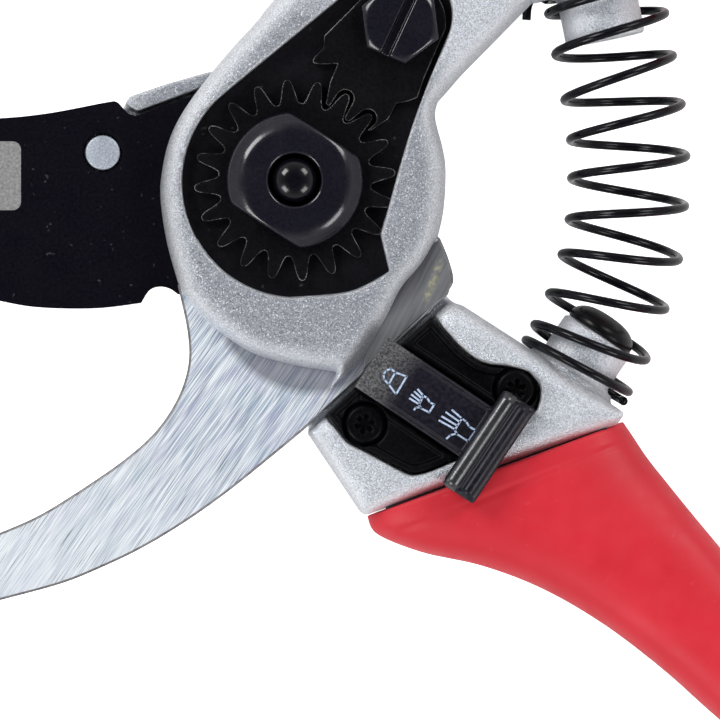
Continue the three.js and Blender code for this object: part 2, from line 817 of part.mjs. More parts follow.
const bladeHalf = new THREE.Group();
bladeHalf.add(mesh('blade_forging', bladeForging(), SILVER, 0.38, 0.9));
bladeHalf.add(mesh('cutting_blade', cuttingBlade(), '#131318', 0.55, 0.4));
bladeHalf.add(mesh('blade_pin', bladePin(), SILVER, 0.4, 0.9));
bladeHalf.add(mesh('pivot_bushing', pivotBushing(), '#a58a4a', 0.4, 0.9));
bladeHalf.add(mesh('friction_washer', frictionWasher(), '#8f9196', 0.4, 1));
bladeHalf.add(mesh('bumper', bumper(), '#0f0f11', 0.6, 0));
bladeHalf.add(mesh('catch_housing', catchHousing(), '#121216', 0.5, 0));
CATCH_SCREWS.forEach((centre, i) => {
  bladeHalf.add(mesh(`catch_screw_${i + 1}`, catchScrew(centre), '#17171b', 0.35, 0.6));
});
bladeHalf.add(mesh('detent_ball', detentBall(), '#c8c9cc', 0.2, 1));
bladeHalf.add(mesh('detent_spring', detentSpring(), '#9a9ca0', 0.35, 1));
bladeHalf.add(mesh('lower_grip', grip(same), RED, 0.5, 0));

const slidingCatch = new THREE.Group();
slidingCatch.add(mesh('catch_slider', catchSlider(), '#1e1d24', 0.42, 0));
bladeHalf.add(slidingCatch);

pruner.add(hookHalf, bladeHalf);

export default pruner;
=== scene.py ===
"""Bypass pruner lying flat and open: the visual model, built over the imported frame."""

import json
import math

import bmesh
import bpy
import numpy as np
import openvdb
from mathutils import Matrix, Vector


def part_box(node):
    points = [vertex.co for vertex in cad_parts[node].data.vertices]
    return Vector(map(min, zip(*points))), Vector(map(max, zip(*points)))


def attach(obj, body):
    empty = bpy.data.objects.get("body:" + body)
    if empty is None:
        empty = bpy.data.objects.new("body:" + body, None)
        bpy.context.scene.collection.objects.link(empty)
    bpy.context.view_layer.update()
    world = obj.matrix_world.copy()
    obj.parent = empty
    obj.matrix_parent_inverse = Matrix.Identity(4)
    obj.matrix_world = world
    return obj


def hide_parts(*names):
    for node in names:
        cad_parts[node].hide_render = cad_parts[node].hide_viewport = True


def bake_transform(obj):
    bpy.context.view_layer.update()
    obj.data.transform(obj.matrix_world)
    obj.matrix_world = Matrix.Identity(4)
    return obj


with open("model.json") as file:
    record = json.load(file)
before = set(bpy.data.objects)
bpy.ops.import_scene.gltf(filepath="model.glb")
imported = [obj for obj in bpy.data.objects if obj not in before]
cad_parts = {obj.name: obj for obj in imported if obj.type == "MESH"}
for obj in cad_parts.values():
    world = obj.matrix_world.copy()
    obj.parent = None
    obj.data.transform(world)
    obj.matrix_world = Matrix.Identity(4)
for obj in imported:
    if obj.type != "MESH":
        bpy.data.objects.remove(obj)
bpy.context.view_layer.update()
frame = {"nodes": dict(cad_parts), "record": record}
MM = 0.001

# ---- Sizes read from the frame, in millimetres ----


def heights(node):
    """Lowest and highest point of a node."""
    low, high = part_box(node)
    return round(low[2] / MM, 3), round(high[2] / MM, 3)


def centre_of(node):
    """Middle of a node in plan."""
    low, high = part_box(node)
    return tuple(round((low[i] + high[i]) / 2 / MM, 3) for i in range(2))


def joint(name):
    return next(each for each in frame["record"]["behaviour"]["joints"] if each["name"] == name)


PLATE_BOTTOM, SHOULDER_TOP = heights("blade_forging")
BLADE_BOTTOM, BLADE_TOP = heights("cutting_blade")
BODY_TOP = heights("hook_forging")[1]
GEAR_BOTTOM, GEAR_TOP = heights("adjuster_gear")
NUT_TOP = heights("pivot_nut")[1]
GRIP_BOTTOM, GRIP_TOP = heights("lower_grip")
BLADE_PIN = centre_of("blade_pin")
LOCK_SCREW = centre_of("locking_screw")
CATCH_SCREWS = (centre_of("catch_screw_1"), centre_of("catch_screw_2"))
CLOSING = joint("handle_pivot")["range_deg"][1]

# ---- Sizes of the visual model, in millimetres and degrees ----

PLATE_TOP = 6.5
HOOK_BOTTOM, HOOK_TOP = 9.9, 14.9
RECESS_FLOOR, RECESS_END = 14.1, (14.0, 21.9)
SLIDER_BOTTOM, SLIDER_TOP = 17.9, 19.7
SHOULDER_NORMAL = -47.3  # direction that the block's straight edge faces
HOOK_REACH, BLOCK_REACH = 25.2, 25.8  # from the pivot to the hook's and the block's facing edges
CATCH_TURN, CATCH_CENTRE = -33.8, (10.4, -24.3)
BOSS_UPPER = ((41.5, 18.8), -78.5, 5.35, 6.7)  # end face, direction, radius, height
BOSS_LOWER = ((40.5, -20.5), 56.0, 5.15, 6.8)
BOSS_Z = 9.4
MIRROR_POINT, MIRROR_TURN = (42.5, 17.0), 14.0  # line between the closed handles
SPRING_AXIS = (
    (40.9, 25.9), (41.6, 22.6), (42.6, 16.8), (43.75, 11.0), (44.5, 4.8),
    (44.5, -1.2), (43.9, -8.0), (42.3, -14.2), (40.2, -20.0), (37.1, -25.7),
)
SPRING_TURNS, SPRING_R, WIRE_R = 10.5, 7.7, 0.6
GRIP_SECTIONS = (
    ((9.6, -44.75), (43.8, -32.15)), ((11.0, -47.2), (45.0, -33.9)), ((17, -49.6), (47, -36.9)),
    ((25, -51.4), (49.6, -40.2)), ((33.1, -54.5), (52.6, -43.9)), ((41.2, -59.2), (56, -48)),
    ((49.2, -65.3), (61.6, -54.6)), ((57, -72.2), (68.4, -61)), ((66.6, -79.6), (76.6, -67.2)),
    ((78, -86.4), (86, -72.6)), ((90.6, -92.2), (96, -77)), ((101, -95.6), (104.4, -81)),
    ((105.6, -95), (108.2, -84.4)), ((108.6, -92.4), (109.6, -87.6)),
)


# ---- Outlines ----


def polar(radius, degrees, centre=(0.0, 0.0)):
    """Point at a distance and direction from a centre."""
    angle = math.radians(degrees)
    return (centre[0] + radius * math.cos(angle), centre[1] + radius * math.sin(angle))


def on_shoulder(along, across):
    """Point along the block's straight edge, this far from the pivot."""
    return polar(along, SHOULDER_NORMAL + 90, polar(across, SHOULDER_NORMAL))


def on_catch(along, across):
    """Point along and across the slider."""
    return polar(across, CATCH_TURN + 90, polar(along, CATCH_TURN, CATCH_CENTRE))


def to_upper(point):
    """The point of the upper handle that matches a point of the lower one when the tool is closed."""
    x, y = polar(math.hypot(*point), math.degrees(math.atan2(point[1], point[0])) + CLOSING)
    nx, ny = polar(1.0, MIRROR_TURN + 90)
    offset = (x - MIRROR_POINT[0]) * nx + (y - MIRROR_POINT[1]) * ny
    return (x - 2 * offset * nx, y - 2 * offset * ny)


def unit(vectors):
    return vectors / np.linalg.norm(vectors, axis=1)[:, None]


def spline(points, steps):
    """Smooth run through the points, with this many pieces between neighbours."""
    p = np.array(points, float)
    found = [p[0]]
    for i in range(len(p) - 1):
        p0, p1, p2, p3 = p[max(i - 1, 0)], p[i], p[i + 1], p[min(i + 2, len(p) - 1)]
        v0, v1 = (p2 - p0) / 2, (p3 - p1) / 2
        for k in range(1, steps + 1):
            t = k / steps
            cubic = (2 * p1 - 2 * p2 + v0 + v1) * t**3
            found.append(cubic + (-3 * p1 + 3 * p2 - 2 * v0 - v1) * t**2 + v0 * t + p1)
    return found


def line(*points):
    return (False, points)


def curve(*points):
    return (True, points)


def arc(radius, start, end, centre=(0.0, 0.0), steps=24):
    return line(*[polar(radius, start + (end - start) * i / steps, centre) for i in range(steps + 1)])


def outline(*runs, steps=8):
    points = []
    for curved, given in runs:
        given = [np.array(p, float) for p in given]
        if curved:
            through = points[-1:] + given
            given = spline(through, steps)
        points += given
    apart = [p for i, p in enumerate(points) if np.linalg.norm(p - points[i - 1]) > 0.02]
    return np.array(apart)


BODY = outline(
    curve((-15.1, -15.1), (-12.1, -18.6), (-9.4, -20.8), (-5.3, -23.3), (0.7, -24.9), (5.4, -25.6)),
    line(on_shoulder(-16.5, 23.8), on_shoulder(-9.5, 23.8)),
    curve((12.3, -18.5), (14.4, -14.4), (17, -11.3), (18.9, -8.1)),
    curve((19.8, -4), (20.1, 1.2), (19.7, 4.3), (18.7, 8.3), (19, 10.4)),
    line((22, 14), (31.6, 23.8), (48.3, 27.1), (48, 31), (19, 52.2)),
    curve((8, 38.4), (-2.7, 24.1), (-8.05, 18)),
    curve(
        (-11.1, 14.4), (-14.7, 9.5), (-16.7, 5.5), (-17.7, 1.2),
        (-17.9, -2.5), (-17, -8.5), (-15.1, -15.1),
    ),
)
HOOK = outline(
    line((0, 0), (19.3, -7.6)),
    curve((20.5, -10.6), (21.1, -13.4), polar(25.1, -37)),
    line(on_shoulder(1, HOOK_REACH), on_shoulder(-21.9, HOOK_REACH)),
    curve(
        (-4, -37.5), (-9.4, -41.8), (-14.8, -45.6), (-20.3, -48.9),
        (-25.7, -51.5), (-31.2, -53.7), (-39.3, -55.9),
    ),
    curve((-46, -56.9), (-52, -56.9), (-57, -55.5), (-58.6, -53.4)),
    curve((-56.5, -51.7), (-50, -50.3), (-45, -48.9), (-39.3, -46.9), (-33.9, -44.5), (-28.5, -41.2)),
    curve((-23, -37.4), (-18.7, -33.6), (-15.7, -29.2), (-14.2, -24.6), (-14.3, -20), (-15.6, -14)),
    line((-14, -8)),
)
NECK = outline(
    arc(22.6, 101, 30),
    line((22, 14), (31.6, 23.8), (48.3, 27.1), (48, 31), (19, 52.2)),
    curve((8, 38.4), (-2.7, 24.1)),
)
RECESS = outline(
    arc(15.3, 128, 266, (0.3, -0.3)),
    curve((6.2, -15), (9.5, -13.9), (12.6, -12.1)),
    line((11.4, -7.2)),
    curve((12.6, -3), (13.9, 1.7), (15.7, 7.5), (17.8, 13.2)),
    arc(6.9, -18, 122, RECESS_END),
)
CUTTING_EDGE = (
    (-20.6, -16.3), (-26.5, -17), (-33.9, -16.9), (-39.3, -16.05),
    (-50, -13.6), (-60, -9.8), (-68, -5.2), (-75, 0.5),
)
BLADE = outline(
    line((-22.3, 9), (-21.3, 8.7), (-13.3, 11.5)),
    arc(16.8, 132, -108),
    curve((-9.5, -16.2), (-15.7, -15.1)),
    curve((-16.7, -14.4), (-18.1, -14.1), (-19.5, -14.6), (-20.6, -16.3)),
    curve(*CUTTING_EDGE[1:]),
    curve(
        (-70, 3.8), (-62, 6.3), (-50, 8), (-39.3, 8.4),
        (-32.7, 9.1), (-25.3, 10.5), (-23.9, 10.6), (-23.1, 9.9),
    ),
)
SHOULDER = outline(
    line(
        on_shoulder(-21.6, BLOCK_REACH), on_shoulder(4.2, BLOCK_REACH), (22.3, -16.6), (29.9, -21.5),
        (44, -31), (42.9, -32.5), (27, -38.2), (9.4, -44.6), (8.7, -44.2),
    )
)
BACK_PLATE = outline(
    line(on_shoulder(-21, 28), on_shoulder(-21, BLOCK_REACH)),
    curve((-4.5, -22.5), (-12, -15.6), (-20, -8.5), (-27.5, -1.6), (-29.3, 4.5), (-27, 8)),
    line((-23.4, 8.6), (-22.8, 10.3), (-22.2, 11.3), (-17.2, 13), (-11.6, 14.65)),
    arc(18.4, 127, -30),
    line((21, -16.4), (24, -24)),
)
RIB = outline(
    line((-21.1, 9.3), (-22.7, 10.3), (-22.2, 11.3), (-17.2, 13), (-11.6, 14.6), (-10.2, 13.4), (-13.5, 12.1))
)
HOUSING = outline(
    line(on_shoulder(-18.2, 25.4), on_shoulder(1.3, 25.4), on_shoulder(1.2, 28.8)),
    curve((22.8, -22.8), (25.3, -24.3), (28.4, -24.7), (31.1, -25.4)),
    curve((32.7, -27.7), (32.2, -30.6)),
    line((21.6, -37.2)),
    curve((18.3, -38.6), (16, -39.2), (14.4, -38.8), (10.1, -36.5)),
    line((6.9, -34.9)),
)


def toothed(tip, root, growth=0.0, teeth=20, turn=94.4):
    """Toothed wheel with rounded teeth between two radii, their tips widened by an angle."""
    pitch = 360 / teeth
    points = []
    for i in range(teeth):
        middle = turn + i * pitch
        points += [
            polar(root, middle - 0.28 * pitch),
            polar(tip, middle - 0.1 * pitch - growth),
            polar(tip, middle + 0.1 * pitch + growth),
            polar(root, middle + 0.28 * pitch),
        ]
    return np.array(spline(points + points[:1], 5)[:-1])


# ---- Solids as distances on a grid ----


def corner(u, v):
    """Distance to the corner between two faces, from the distances to each."""
    return np.minimum(np.maximum(u, v), 0) + np.hypot(np.maximum(u, 0), np.maximum(v, 0))


class Grid:
    """Points at which signed distances are sampled, in millimetres: negative is inside."""

    def __init__(self, low, high, step):
        self.step = step
        self.low = np.array(low, float) - 3 * step
        counts = np.ceil((np.array(high, float) + 3 * step - self.low) / step).astype(int)
        axes = [self.low[i] + step * np.arange(counts[i]) for i in range(3)]
        self.x, self.y = np.meshgrid(axes[0], axes[1], indexing="ij")
        self.z = axes[2][None, None, :]

    def area(self, points):
        """Distance in plan to a closed outline."""
        best = np.full(self.x.shape, 1e9)
        inside = np.zeros(self.x.shape, bool)
        for a, b in zip(points, np.roll(points, -1, axis=0)):
            d = b - a
            px, py = self.x - a[0], self.y - a[1]
            t = np.clip((px * d[0] + py * d[1]) / (d @ d), 0, 1)
            best = np.minimum(best, (px - t * d[0]) ** 2 + (py - t * d[1]) ** 2)
            crosses = (a[1] > self.y) != (b[1] > self.y)
            if abs(d[1]) > 1e-12:
                inside ^= crosses & (self.x < a[0] + (self.y - a[1]) * d[0] / d[1])
        return np.where(inside, -1, 1) * np.sqrt(best)

    def disc(self, radius, centre=(0.0, 0.0)):
        return np.hypot(self.x - centre[0], self.y - centre[1]) - radius

    def along_and_across(self, centre, turn):
        """Plan coordinates from a centre, along a direction and square to it."""
        c, s = polar(1.0, turn)
        dx, dy = self.x - centre[0], self.y - centre[1]
        return dx * c + dy * s, dy * c - dx * s

    def box(self, centre, turn, length, width):
        """Distance in plan to a rectangle turned by an angle."""
        along, across = self.along_and_across(centre, turn)
        return corner(np.abs(along) - length / 2, np.abs(across) - width / 2)

    def prism(self, area, bottom, top, upper=0.0, lower=0.0):
        """An area in plan between two heights, its upper and lower edges rounded."""
        middle, half = (top + bottom) / 2, (top - bottom) / 2
        radius = np.where(self.z > middle, upper, lower)
        return corner(area[:, :, None] + radius, np.abs(self.z - middle) - half + radius) - radius

    def cone(self, radius, height, turn=45):
        """Distance to a cone about the pivot that is this wide at this height and widens downwards."""
        c, s = polar(1.0, turn)
        return (np.hypot(self.x, self.y)[:, :, None] - radius) * c + (self.z - height) * s

    def lying_rod(self, end, turn, radius, height, rounding=0.5):
        """Round bar in the plane of the tool whose end face is at a point, facing a direction."""
        along, across = self.along_and_across(end, turn)
        side = np.hypot(across[:, :, None], self.z - BOSS_Z) - radius
        cap = np.maximum(along, -along - height)[:, :, None]
        return corner(side + rounding, cap + rounding) - rounding

    def capsule(self, centre, turn, length, radius, height):
        """Lying bar with round ends."""
        along, across = self.along_and_across(centre, turn)
        in_plan = np.hypot(np.maximum(np.abs(along) - length / 2, 0), across)
        return np.hypot(in_plan[:, :, None], self.z - height) - radius


def joined(a, b, fillet=0.0):
    """Both solids, blended over a fillet where they meet."""
    if fillet <= 0:
        return np.minimum(a, b)
    h = np.clip(0.5 + 0.5 * (b - a) / fillet, 0, 1)
    return b + (a - b) * h - fillet * h * (1 - h)


def cut(a, b, rounding=0.0):
    """The first solid less the second."""
    return -joined(-a, b, rounding)


def mesh_object(name, vertices, faces, smooth=True):
    mesh = bpy.data.meshes.new(name)
    mesh.from_pydata([tuple(v) for v in vertices], [], [tuple(int(i) for i in f) for f in faces])
    mesh.validate()
    mesh.polygons.foreach_set("use_smooth", [smooth] * len(mesh.polygons))
    piece = bpy.data.objects.new(name, mesh)
    bpy.context.scene.collection.objects.link(piece)
    return piece


def face_outwards(piece, merge=0.0):
    """Turns every face outwards, after joining points closer than a distance."""
    shape = bmesh.new()
    shape.from_mesh(piece.data)
    if merge:
        bmesh.ops.remove_doubles(shape, verts=shape.verts, dist=merge * MM)
    bmesh.ops.recalc_face_normals(shape, faces=shape.faces)
    shape.to_mesh(piece.data)
    shape.free()


def solid(name, grid, distance):
    """The surface where the distance is zero, as a mesh."""
    limit = 3 * grid.step
    volume = openvdb.FloatGrid(background=limit)
    volume.copyFromArray(np.clip(distance, -limit, limit).astype(np.float32))
    points, quads = volume.convertToQuads(isovalue=0.0)
    vertices = (grid.low + np.array(points) * grid.step) * MM
    quads = np.array(quads, int)
    corners = vertices[quads[:, :3]]
    signed_volume = np.einsum("ij,ij->i", corners[:, 0], np.cross(corners[:, 1], corners[:, 2])).sum()
    if signed_volume < 0:
        quads = quads[:, ::-1]
    return mesh_object(name, vertices, quads)


# ---- Solids as plates, turned bodies and tubes ----


def plate(name, points, bottom, top, bevel=0.15, segments=3):
    """An outline between two heights, its sharp edges bevelled."""
    n = len(points)
    area = 0.5 * sum(a[0] * b[1] - b[0] * a[1] for a, b in zip(points, np.roll(points, -1, axis=0)))
    if area < 0:
        points = points[::-1]
    vertices = [(x * MM, y * MM, z * MM) for z in (bottom, top) for x, y in points]
    faces = [tuple(range(n))[::-1], tuple(range(n, 2 * n))]
    faces += [(i, (i + 1) % n, n + (i + 1) % n, n + i) for i in range(n)]
    piece = mesh_object(name, vertices, faces)
    round_edges(piece, bevel, segments)
    return piece


def bake(piece):
    """Makes the piece's modifiers part of its mesh."""
    shaped = piece.evaluated_get(bpy.context.evaluated_depsgraph_get())
    mesh = bpy.data.meshes.new_from_object(shaped)
    piece.modifiers.clear()
    piece.data = mesh


def round_edges(piece, width, segments=3, angle=32):
    bevel = piece.modifiers.new("edges", "BEVEL")
    bevel.width = width * MM
    bevel.segments = segments
    bevel.limit_method = "ANGLE"
    bevel.angle_limit = math.radians(angle)
    bevel.harden_normals = True


def turned(name, profile, centre=(0.0, 0.0), sides=96):
    """Body of revolution about +Z from (radius, height) pairs, starting and ending on the axis."""
    inner = profile[1:-1]
    vertices = [(*centre, profile[0][1]), (*centre, profile[-1][1])]
    for radius, height in inner:
        vertices += [(*polar(radius, 360 * i / sides, centre), height) for i in range(sides)]
    faces = []
    for i in range(sides):
        j = (i + 1) % sides
        faces.append((0, 2 + j, 2 + i))
        top = 2 + (len(inner) - 1) * sides
        faces.append((1, top + i, top + j))
        for k in range(len(inner) - 1):
            low, high = 2 + k * sides, 2 + (k + 1) * sides
            faces.append((low + i, low + j, high + j, high + i))
    return mesh_object(name, [tuple(c * MM for c in v) for v in vertices], faces)


def skin(count, sides):
    """Faces between neighbouring rings of points, and one across each end."""
    faces = []
    for k in range(count - 1):
        for i in range(sides):
            a, b = k * sides + i, k * sides + (i + 1) % sides
            faces.append((a, b, b + sides, a + sides))
    return faces + [tuple(range(sides))[::-1], tuple(range((count - 1) * sides, count * sides))]


def tube(name, path, radius, sides=12):
    """Round wire along a path of points, with both ends closed."""
    path = np.array(path, float)
    tangents = unit(np.gradient(path, axis=0))
    side = np.cross(tangents[0], (0.3, 0.2, 1.0))
    vertices = []
    for p, t in zip(path, tangents):
        side = side - (side @ t) * t
        side /= np.linalg.norm(side)
        other = np.cross(t, side)
        for i in range(sides):
            c, s = polar(radius, 360 * i / sides)
            vertices.append((p + c * side + s * other) * MM)
    return mesh_object(name, vertices, skin(len(path), sides))


# ---- Materials ----


class Look:
    """A node material under construction."""

    def __init__(self, name, color, roughness, metallic=0.0, **more):
        self.material = bpy.data.materials.new(name)
        self.material.use_nodes = True
        self.nodes = self.material.node_tree.nodes
        self.links = self.material.node_tree.links
        self.shader = self.nodes["Principled BSDF"]
        self.shader.inputs["Base Color"].default_value = (*color, 1)
        self.shader.inputs["Roughness"].default_value = roughness
        self.shader.inputs["Metallic"].default_value = metallic
        for key, value in more.items():
            self.shader.inputs[key.replace("_", " ")].default_value = value
        self.place = self.add("ShaderNodeTexCoord").outputs["Object"]
        self.normal = None

    def add(self, kind, inputs=None, **settings):
        node = self.nodes.new(kind)
        for key, value in settings.items():
            setattr(node, key, value)
        for key, value in (inputs or {}).items():
            if isinstance(value, bpy.types.NodeSocket):
                self.links.new(value, node.inputs[key])
            else:
                node.inputs[key].default_value = value
        return node

    def stretched(self, turn, scale):
        """Coordinates turned about +Z, then scaled, for streaks along the turned X."""
        rotation = (0, 0, -math.radians(turn))
        rotated = self.add("ShaderNodeMapping", {"Vector": self.place, "Rotation": rotation})
        return self.add("ShaderNodeMapping", {"Vector": rotated.outputs[0], "Scale": scale}).outputs[0]

    def noise(self, scale, detail=2.0, place=None):
        inputs = {"Vector": place or self.place, "Scale": scale, "Detail": detail}
        return self.add("ShaderNodeTexNoise", inputs).outputs["Fac"]

    def cells(self, scale):
        return self.add("ShaderNodeTexVoronoi", {"Vector": self.place, "Scale": scale}).outputs["Color"]

    def distance_along(self, origin, turn):
        """Millimetres from a point along a direction."""
        c, s = polar(1 / MM, turn)
        shifted = self.add("ShaderNodeVectorMath", {0: self.place, 1: (-origin[0] * MM, -origin[1] * MM, 0)})
        inputs = {0: shifted.outputs[0], 1: (c, s, 0)}
        return self.add("ShaderNodeVectorMath", inputs, operation="DOT_PRODUCT").outputs["Value"]

    def distance_round(self, x=0.0, y=0.0):
        """Millimetres in plan from a point, the pivot unless given."""
        shifted = self.add("ShaderNodeVectorMath", {0: self.place, 1: (-x * MM, -y * MM, 0)}).outputs[0]
        flat = self.add("ShaderNodeVectorMath", {0: shifted, 1: (1 / MM, 1 / MM, 0)}, operation="MULTIPLY")
        return self.add("ShaderNodeVectorMath", {0: flat.outputs[0]}, operation="LENGTH").outputs["Value"]

    def distance_from(self, origin, turn):
        """Millimetres from the line through a point in a direction."""
        inputs = {0: self.distance_along(origin, turn + 90)}
        return self.add("ShaderNodeMath", inputs, operation="ABSOLUTE").outputs[0]

    def spread(self, value, low, high, start=0.3, end=0.7):
        inputs = {"Value": value, "From Min": start, "From Max": end, "To Min": low, "To Max": high}
        return self.add("ShaderNodeMapRange", inputs).outputs[0]

    def product(self, a, b):
        return self.add("ShaderNodeMath", {0: a, 1: b}, operation="MULTIPLY").outputs[0]

    def mix(self, factor, a, b):
        node = self.add("ShaderNodeMix", {"Factor": factor}, data_type="RGBA")
        for index, value in ((6, a), (7, b)):
            if isinstance(value, bpy.types.NodeSocket):
                self.links.new(value, node.inputs[index])
            else:
                node.inputs[index].default_value = (*value, 1)
        return node.outputs[2]

    def color(self, value):
        self.links.new(value, self.shader.inputs["Base Color"])

    def roughness(self, value):
        self.links.new(value, self.shader.inputs["Roughness"])

    def bump(self, height, strength, distance):
        inputs = {"Height": height, "Strength": strength, "Distance": distance * MM}
        if self.normal is not None:
            inputs["Normal"] = self.normal
        self.normal = self.add("ShaderNodeBump", inputs).outputs["Normal"]
        self.links.new(self.normal, self.shader.inputs["Normal"])


def cast_silver():
    """Blasted cast metal with bright grains, with painted light that pales it away from the pivot and a
    painted highlight where it slopes.
    """
    look = Look("cast_silver", (0.5, 0.51, 0.54), 0.4, 0.75)
    grain = look.add("ShaderNodeSeparateColor", {"Color": look.cells(8200)}).outputs[0]
    spot = look.add("ShaderNodeSeparateColor", {"Color": look.cells(7000)}).outputs[1]
    broad = look.noise(160, 3)
    # painted light: the tone grows paler with distance from the pivot
    painted_far_light = look.spread(look.distance_round(), 0, 1, 21.5, 27.5)
    dark = look.mix(painted_far_light, (0.145, 0.155, 0.175), (0.32, 0.34, 0.375))
    pale = look.mix(painted_far_light, (0.44, 0.465, 0.51), (0.82, 0.86, 0.92))
    tone = look.mix(look.spread(grain, 0.02, 0.95, 0, 1), dark, pale)
    tone = look.mix(look.spread(broad, 0.16, 0), tone, (0.3, 0.32, 0.36))
    # painted highlight: faces that slope towards the rims are mixed towards near white
    facing = look.add("ShaderNodeSeparateXYZ", {0: look.add("ShaderNodeNewGeometry").outputs["Normal"]})
    sloping = look.spread(facing.outputs["Z"], 0.85, 0, 0.74, 0.985)
    painted_slope_highlight = look.product(sloping, look.spread(grain, 0.5, 1, 0, 1))
    tone = look.mix(painted_slope_highlight, tone, (0.9, 0.92, 0.95))
    look.color(look.mix(look.spread(spot, 0, 0.62, 0.88, 0.97), tone, (0.96, 0.97, 1.0)))
    look.roughness(look.spread(grain, 0.46, 0.3, 0, 1))
    look.bump(look.noise(5200, 3), 1.0, 0.14)
    return look.material


def brushed_steel():
    """Ground face with fine streaks, a painted shadow under the body's rim, and paler towards the hook's tip.
    """
    look = Look("brushed_steel", (0.7, 0.74, 0.82), 0.42, 0.35)
    fine = look.noise(1.0, 1, look.stretched(54, (170, 10200, 150)))
    coarse = look.noise(1.0, 2, look.stretched(53, (120, 4600, 100)))
    scratch = look.noise(1.0, 1, look.stretched(56, (150, 9500, 200)))
    tint = look.mix(look.spread(look.noise(260, 2), 0, 1, 0.4, 0.6), (0.34, 0.45, 0.58), (0.4, 0.44, 0.61))
    tone = look.mix(look.spread(fine, 0, 1, 0.4, 0.6), tint, (0.93, 0.97, 1.0))
    tone = look.mix(look.spread(coarse, 0.2, 0, 0.36, 0.5), tone, (0.3, 0.35, 0.44))
    tone = look.mix(look.spread(look.distance_round(), 0, 0.55, 34, 58), tone, (0.92, 0.97, 1.0))
    tone = look.mix(look.spread(scratch, 0.85, 0, 0.3, 0.38), tone, (0.1, 0.12, 0.18))
    # painted shadow: a dark band along the body's rim, where the body shades the hook
    painted_rim_shadow = look.spread(look.distance_round(2.5, -15), 0.68, 0, 12.7, 13.9)
    look.color(look.mix(painted_rim_shadow, tone, (0.085, 0.085, 0.115)))
    look.roughness(look.spread(fine, 0.36, 0.5))
    look.bump(fine, 0.5, 0.05)
    return look.material


def machined_steel():
    """Darker milled face with a short painted warm glint near its outer side."""
    look = Look("machined_steel", (0.1, 0.1, 0.11), 0.42, 0.6)
    fine = look.noise(1.0, 2, look.stretched(62, (150, 2600, 200)))
    tone = look.mix(look.spread(fine, 0, 1, 0.2, 0.85), (0.095, 0.094, 0.105), (0.135, 0.134, 0.147))
    outer = look.spread(look.distance_round(), 0, 0.6, 20.4, 22.4)
    tone = look.mix(outer, tone, (0.3, 0.31, 0.32))
    # painted glint: a short warm streak of reflected light near the outer side
    middle = (18.4, -13.4)
    off = look.spread(look.distance_from(middle, 70), 0.8, 0, 0.1, 0.7)
    reach = look.spread(look.distance_from(middle, -20), 1, 0, 1.8, 3.2)
    spots = look.spread(look.noise(1500, 2), 0.1, 1, 0.4, 0.6)
    painted_warm_glint = look.product(look.product(off, reach), spots)
    look.color(look.mix(painted_warm_glint, tone, (0.55, 0.53, 0.33)))
    look.roughness(look.spread(fine, 0.36, 0.5))
    look.bump(fine, 0.2, 0.03)
    return look.material


def side_steel():
    look = Look("side_steel", (0.2, 0.19, 0.19), 0.45, 0.7)
    fine = look.noise(1400, 3)
    look.color(look.mix(look.spread(fine, 0, 1), (0.15, 0.145, 0.15), (0.29, 0.28, 0.28)))
    look.bump(fine, 0.3, 0.05)
    return look.material


def coated(name, color, roughness, metallic=0.0, grain=2400, strength=0.25, specks=0.0, shine=0.3):
    """Dark painted, blued or moulded surface with a fine texture and a few pale specks."""
    look = Look(name, color, roughness, metallic, Specular_IOR_Level=shine)
    fine = look.noise(grain, 3)
    lighter = tuple(c * 1.8 + 0.002 for c in color)
    tone = look.mix(look.spread(fine, 0, 1), color, lighter)
    if specks:
        dust = look.spread(look.noise(1100, 1), 0, specks, 0.73, 0.8)
        tone = look.mix(dust, tone, (0.25, 0.25, 0.28))
    look.color(tone)
    look.roughness(look.spread(look.noise(220, 3), roughness - 0.07, roughness + 0.09))
    look.bump(fine, strength, 0.05)
    return look.material


def painted_edge_highlight():
    """Painted highlight on an edge's rounding: grey metal here and there on the dark coating."""
    look = Look("gear_edge_highlight", (0.05, 0.05, 0.05), 0.35, 0.3)
    highlight_patches = look.spread(look.noise(420, 3), 0, 1, 0.42, 0.66)
    look.color(look.mix(highlight_patches, (0.012, 0.012, 0.016), (0.3, 0.29, 0.28)))
    look.bump(look.noise(2600, 2), 0.2, 0.03)
    return look.material


def slider_plastic():
    """Dark satin plastic, rubbed to a speckled grey at the slider's inner end."""
    look = Look("slider_black", (0.012, 0.011, 0.017), 0.34, Specular_IOR_Level=0.26)
    fine = look.noise(1700, 3)
    dark = look.mix(look.spread(fine, 0, 1), (0.005, 0.0045, 0.0085), (0.014, 0.013, 0.021))
    speckle = look.spread(look.noise(4200, 2), 0, 1, 0.4, 0.62)
    grey = look.mix(speckle, (0.045, 0.045, 0.05), (0.17, 0.17, 0.175))
    worn = look.spread(look.distance_along(CATCH_CENTRE, CATCH_TURN), 0.85, 0, 2.0, 5.6)
    look.color(look.mix(worn, dark, grey))
    look.roughness(look.spread(fine, 0.28, 0.42))
    look.bump(fine, 0.35, 0.05)
    return look.material


def red_plastic():
    """Soft satin plastic with a slight mottle and a fine moulded grain."""
    look = Look("grip_red", (0.62, 0.018, 0.03), 0.5, 0.0, Specular_IOR_Level=0.35)
    tone = look.mix(look.spread(look.noise(70, 4), 0, 1), (0.57, 0.016, 0.028), (0.68, 0.024, 0.04))
    scuff = look.spread(look.noise(900, 2), 0, 0.16, 0.68, 0.78)
    look.color(look.mix(scuff, tone, (0.8, 0.12, 0.14)))
    look.roughness(look.spread(look.noise(300, 3), 0.42, 0.56))
    look.bump(look.noise(2600, 2), 0.2, 0.05)
    return look.material


